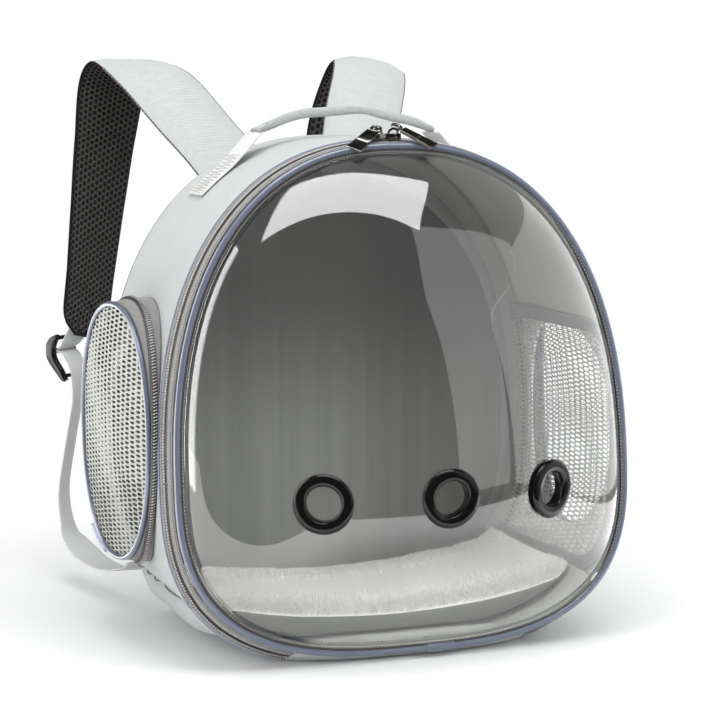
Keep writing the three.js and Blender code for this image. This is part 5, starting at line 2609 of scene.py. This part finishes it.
@dataclass
class Studio:
    """The table, the lights and the camera."""

    azimuth: float = math.radians(-20.61)
    elevation: float = math.radians(7.0)
    distance: float = 1.645
    lens: float = 110.0
    sensor: float = 36.0
    target: Triple = (-0.0458, 0.0, 0.2328)
    table_front: float = -0.46
    table_right: float = 0.72
    table_far: float = 5.0
    ambient: float = 0.60
    dark_room: float = 0.05
    table_glow: float = 4.0
    white_reach: tuple[float, float] = (0.26, 0.50)
    mirror_reach: tuple[float, float] = (0.27, 0.42)

    def build(self) -> None:
        """Makes the studio."""
        scene = bpy.context.scene
        scene.view_settings.view_transform = "Standard"
        data = bpy.data.cameras.new("camera")
        data.lens = self.lens
        data.sensor_width = self.sensor
        data.clip_end = 50.0
        camera = bpy.data.objects.new("camera", data)
        scene.collection.objects.link(camera)
        scene.camera = camera
        flat = math.cos(self.elevation)
        back = Vector(
            (math.sin(self.azimuth) * flat, -math.cos(self.azimuth) * flat, math.sin(self.elevation))
        )
        camera.location = FORM.at(*self.target) + back * self.distance
        camera.rotation_mode = "QUATERNION"
        camera.rotation_quaternion = (-back).to_track_quat("-Z", "Y")
        self.table()
        self.room()
        for box in SOFT_BOXES:
            box.build()

    def table(self) -> None:
        """A white table that ends a little in front of the carrier."""

        def place(u: float, v: float) -> Vector:
            """A point of the table's top."""
            x = lerp(-self.table_far, self.table_right, u)
            return Vector((x, lerp(self.table_front, self.table_far, v), 0))

        bm = grid(2, 2, place)
        mesh = bpy.data.meshes.new("table")
        bm.to_mesh(mesh)
        bm.free()
        mesh.materials.append(self.table_finish())
        table = bpy.data.objects.new("table", mesh)
        bpy.context.scene.collection.objects.link(table)

    def table_finish(self) -> bpy.types.Material:
        """Matt white that runs out into the white background.

        Returns:
            The material.
        """
        material = bpy.data.materials.new("white_table")
        material.use_nodes = True
        material.node_tree.nodes.clear()
        graph = Graph(material.node_tree)
        place = graph.add("ShaderNodeTexCoord").outputs["Object"]
        away = graph.add("ShaderNodeVectorMath", {0: place}, operation="LENGTH").outputs["Value"]
        fade = graph.smooth(away, *self.white_reach)
        rays = graph.add("ShaderNodeLightPath").outputs
        top = graph.principled(
            {"Base Color": (0.94, 0.94, 0.94, 1), "Roughness": 0.7, "Specular IOR Level": 0.2}
        )
        white = graph.add("ShaderNodeEmission", {"Color": WHITE, "Strength": 1.0}).outputs[0]
        glow = graph.add("ShaderNodeEmission", {"Color": WHITE, "Strength": self.table_glow}).outputs[0]
        share = graph.math("MULTIPLY", fade, rays["Is Camera Ray"])
        clear_of_bag = graph.smooth(away, *self.mirror_reach)
        mirrored = graph.math("SUBTRACT", rays["Is Glossy Ray"], rays["Is Transmission Ray"])
        mirrored = graph.math("MULTIPLY", mirrored, clear_of_bag)
        mixed = graph.either(mirrored, graph.either(share, top, white), glow)
        graph.add("ShaderNodeOutputMaterial", {"Surface": mixed})
        return material

    def room(self) -> None:
        """White behind the carrier, soft light all round it, and a dark room in its reflections."""
        world = bpy.data.worlds.new("studio")
        bpy.context.scene.world = world
        world.use_nodes = True
        world.node_tree.nodes.clear()
        graph = Graph(world.node_tree)

        def light(colour: tuple, strength: float) -> Socket:
            """A background of one colour."""
            return graph.add("ShaderNodeBackground", {"Color": colour, "Strength": strength}).outputs[0]

        white = light(WHITE, 1.0)
        soft = light((0.98, 0.99, 1, 1), self.ambient)
        mirror = light(WHITE, self.dark_room)
        rays = graph.add("ShaderNodeLightPath").outputs
        through = graph.math("MAXIMUM", rays["Is Camera Ray"], rays["Is Transmission Ray"])
        mixed = graph.either(through, graph.either(rays["Is Glossy Ray"], soft, mirror), white)
        graph.add("ShaderNodeOutputWorld", {"Surface": mixed})


def main() -> None:
    """Builds every sub-assembly in order."""
    logging.basicConfig(level=logging.INFO, format="%(name)s: %(message)s")
    Studio().build()
    BodyCloth().build()
    ZipBand().build()
    BubbleDoor().build()
    ZipSlider("zip_left", (-0.741, -0.494, -0.454), (-0.30, -0.60, 0.74), 37 * MM).build()
    ZipSlider("zip_right", (0.70, -0.56, -0.44), (0.30, -0.55, 0.78), 38 * MM, 5 * MM).build()
    FleeceMat().build()
    CarryHandle().build()
    for side in Side:
        SidePocket(side, side is Side.LEFT).build()
        # Painted shade: the left window takes the darker net for the shade inside the left pocket.
        SideWindow(side, SHADED_NET if side is Side.LEFT else INNER_NET).build()
        ShoulderStrap(side).build()


if __name__ == "__main__":
    main()
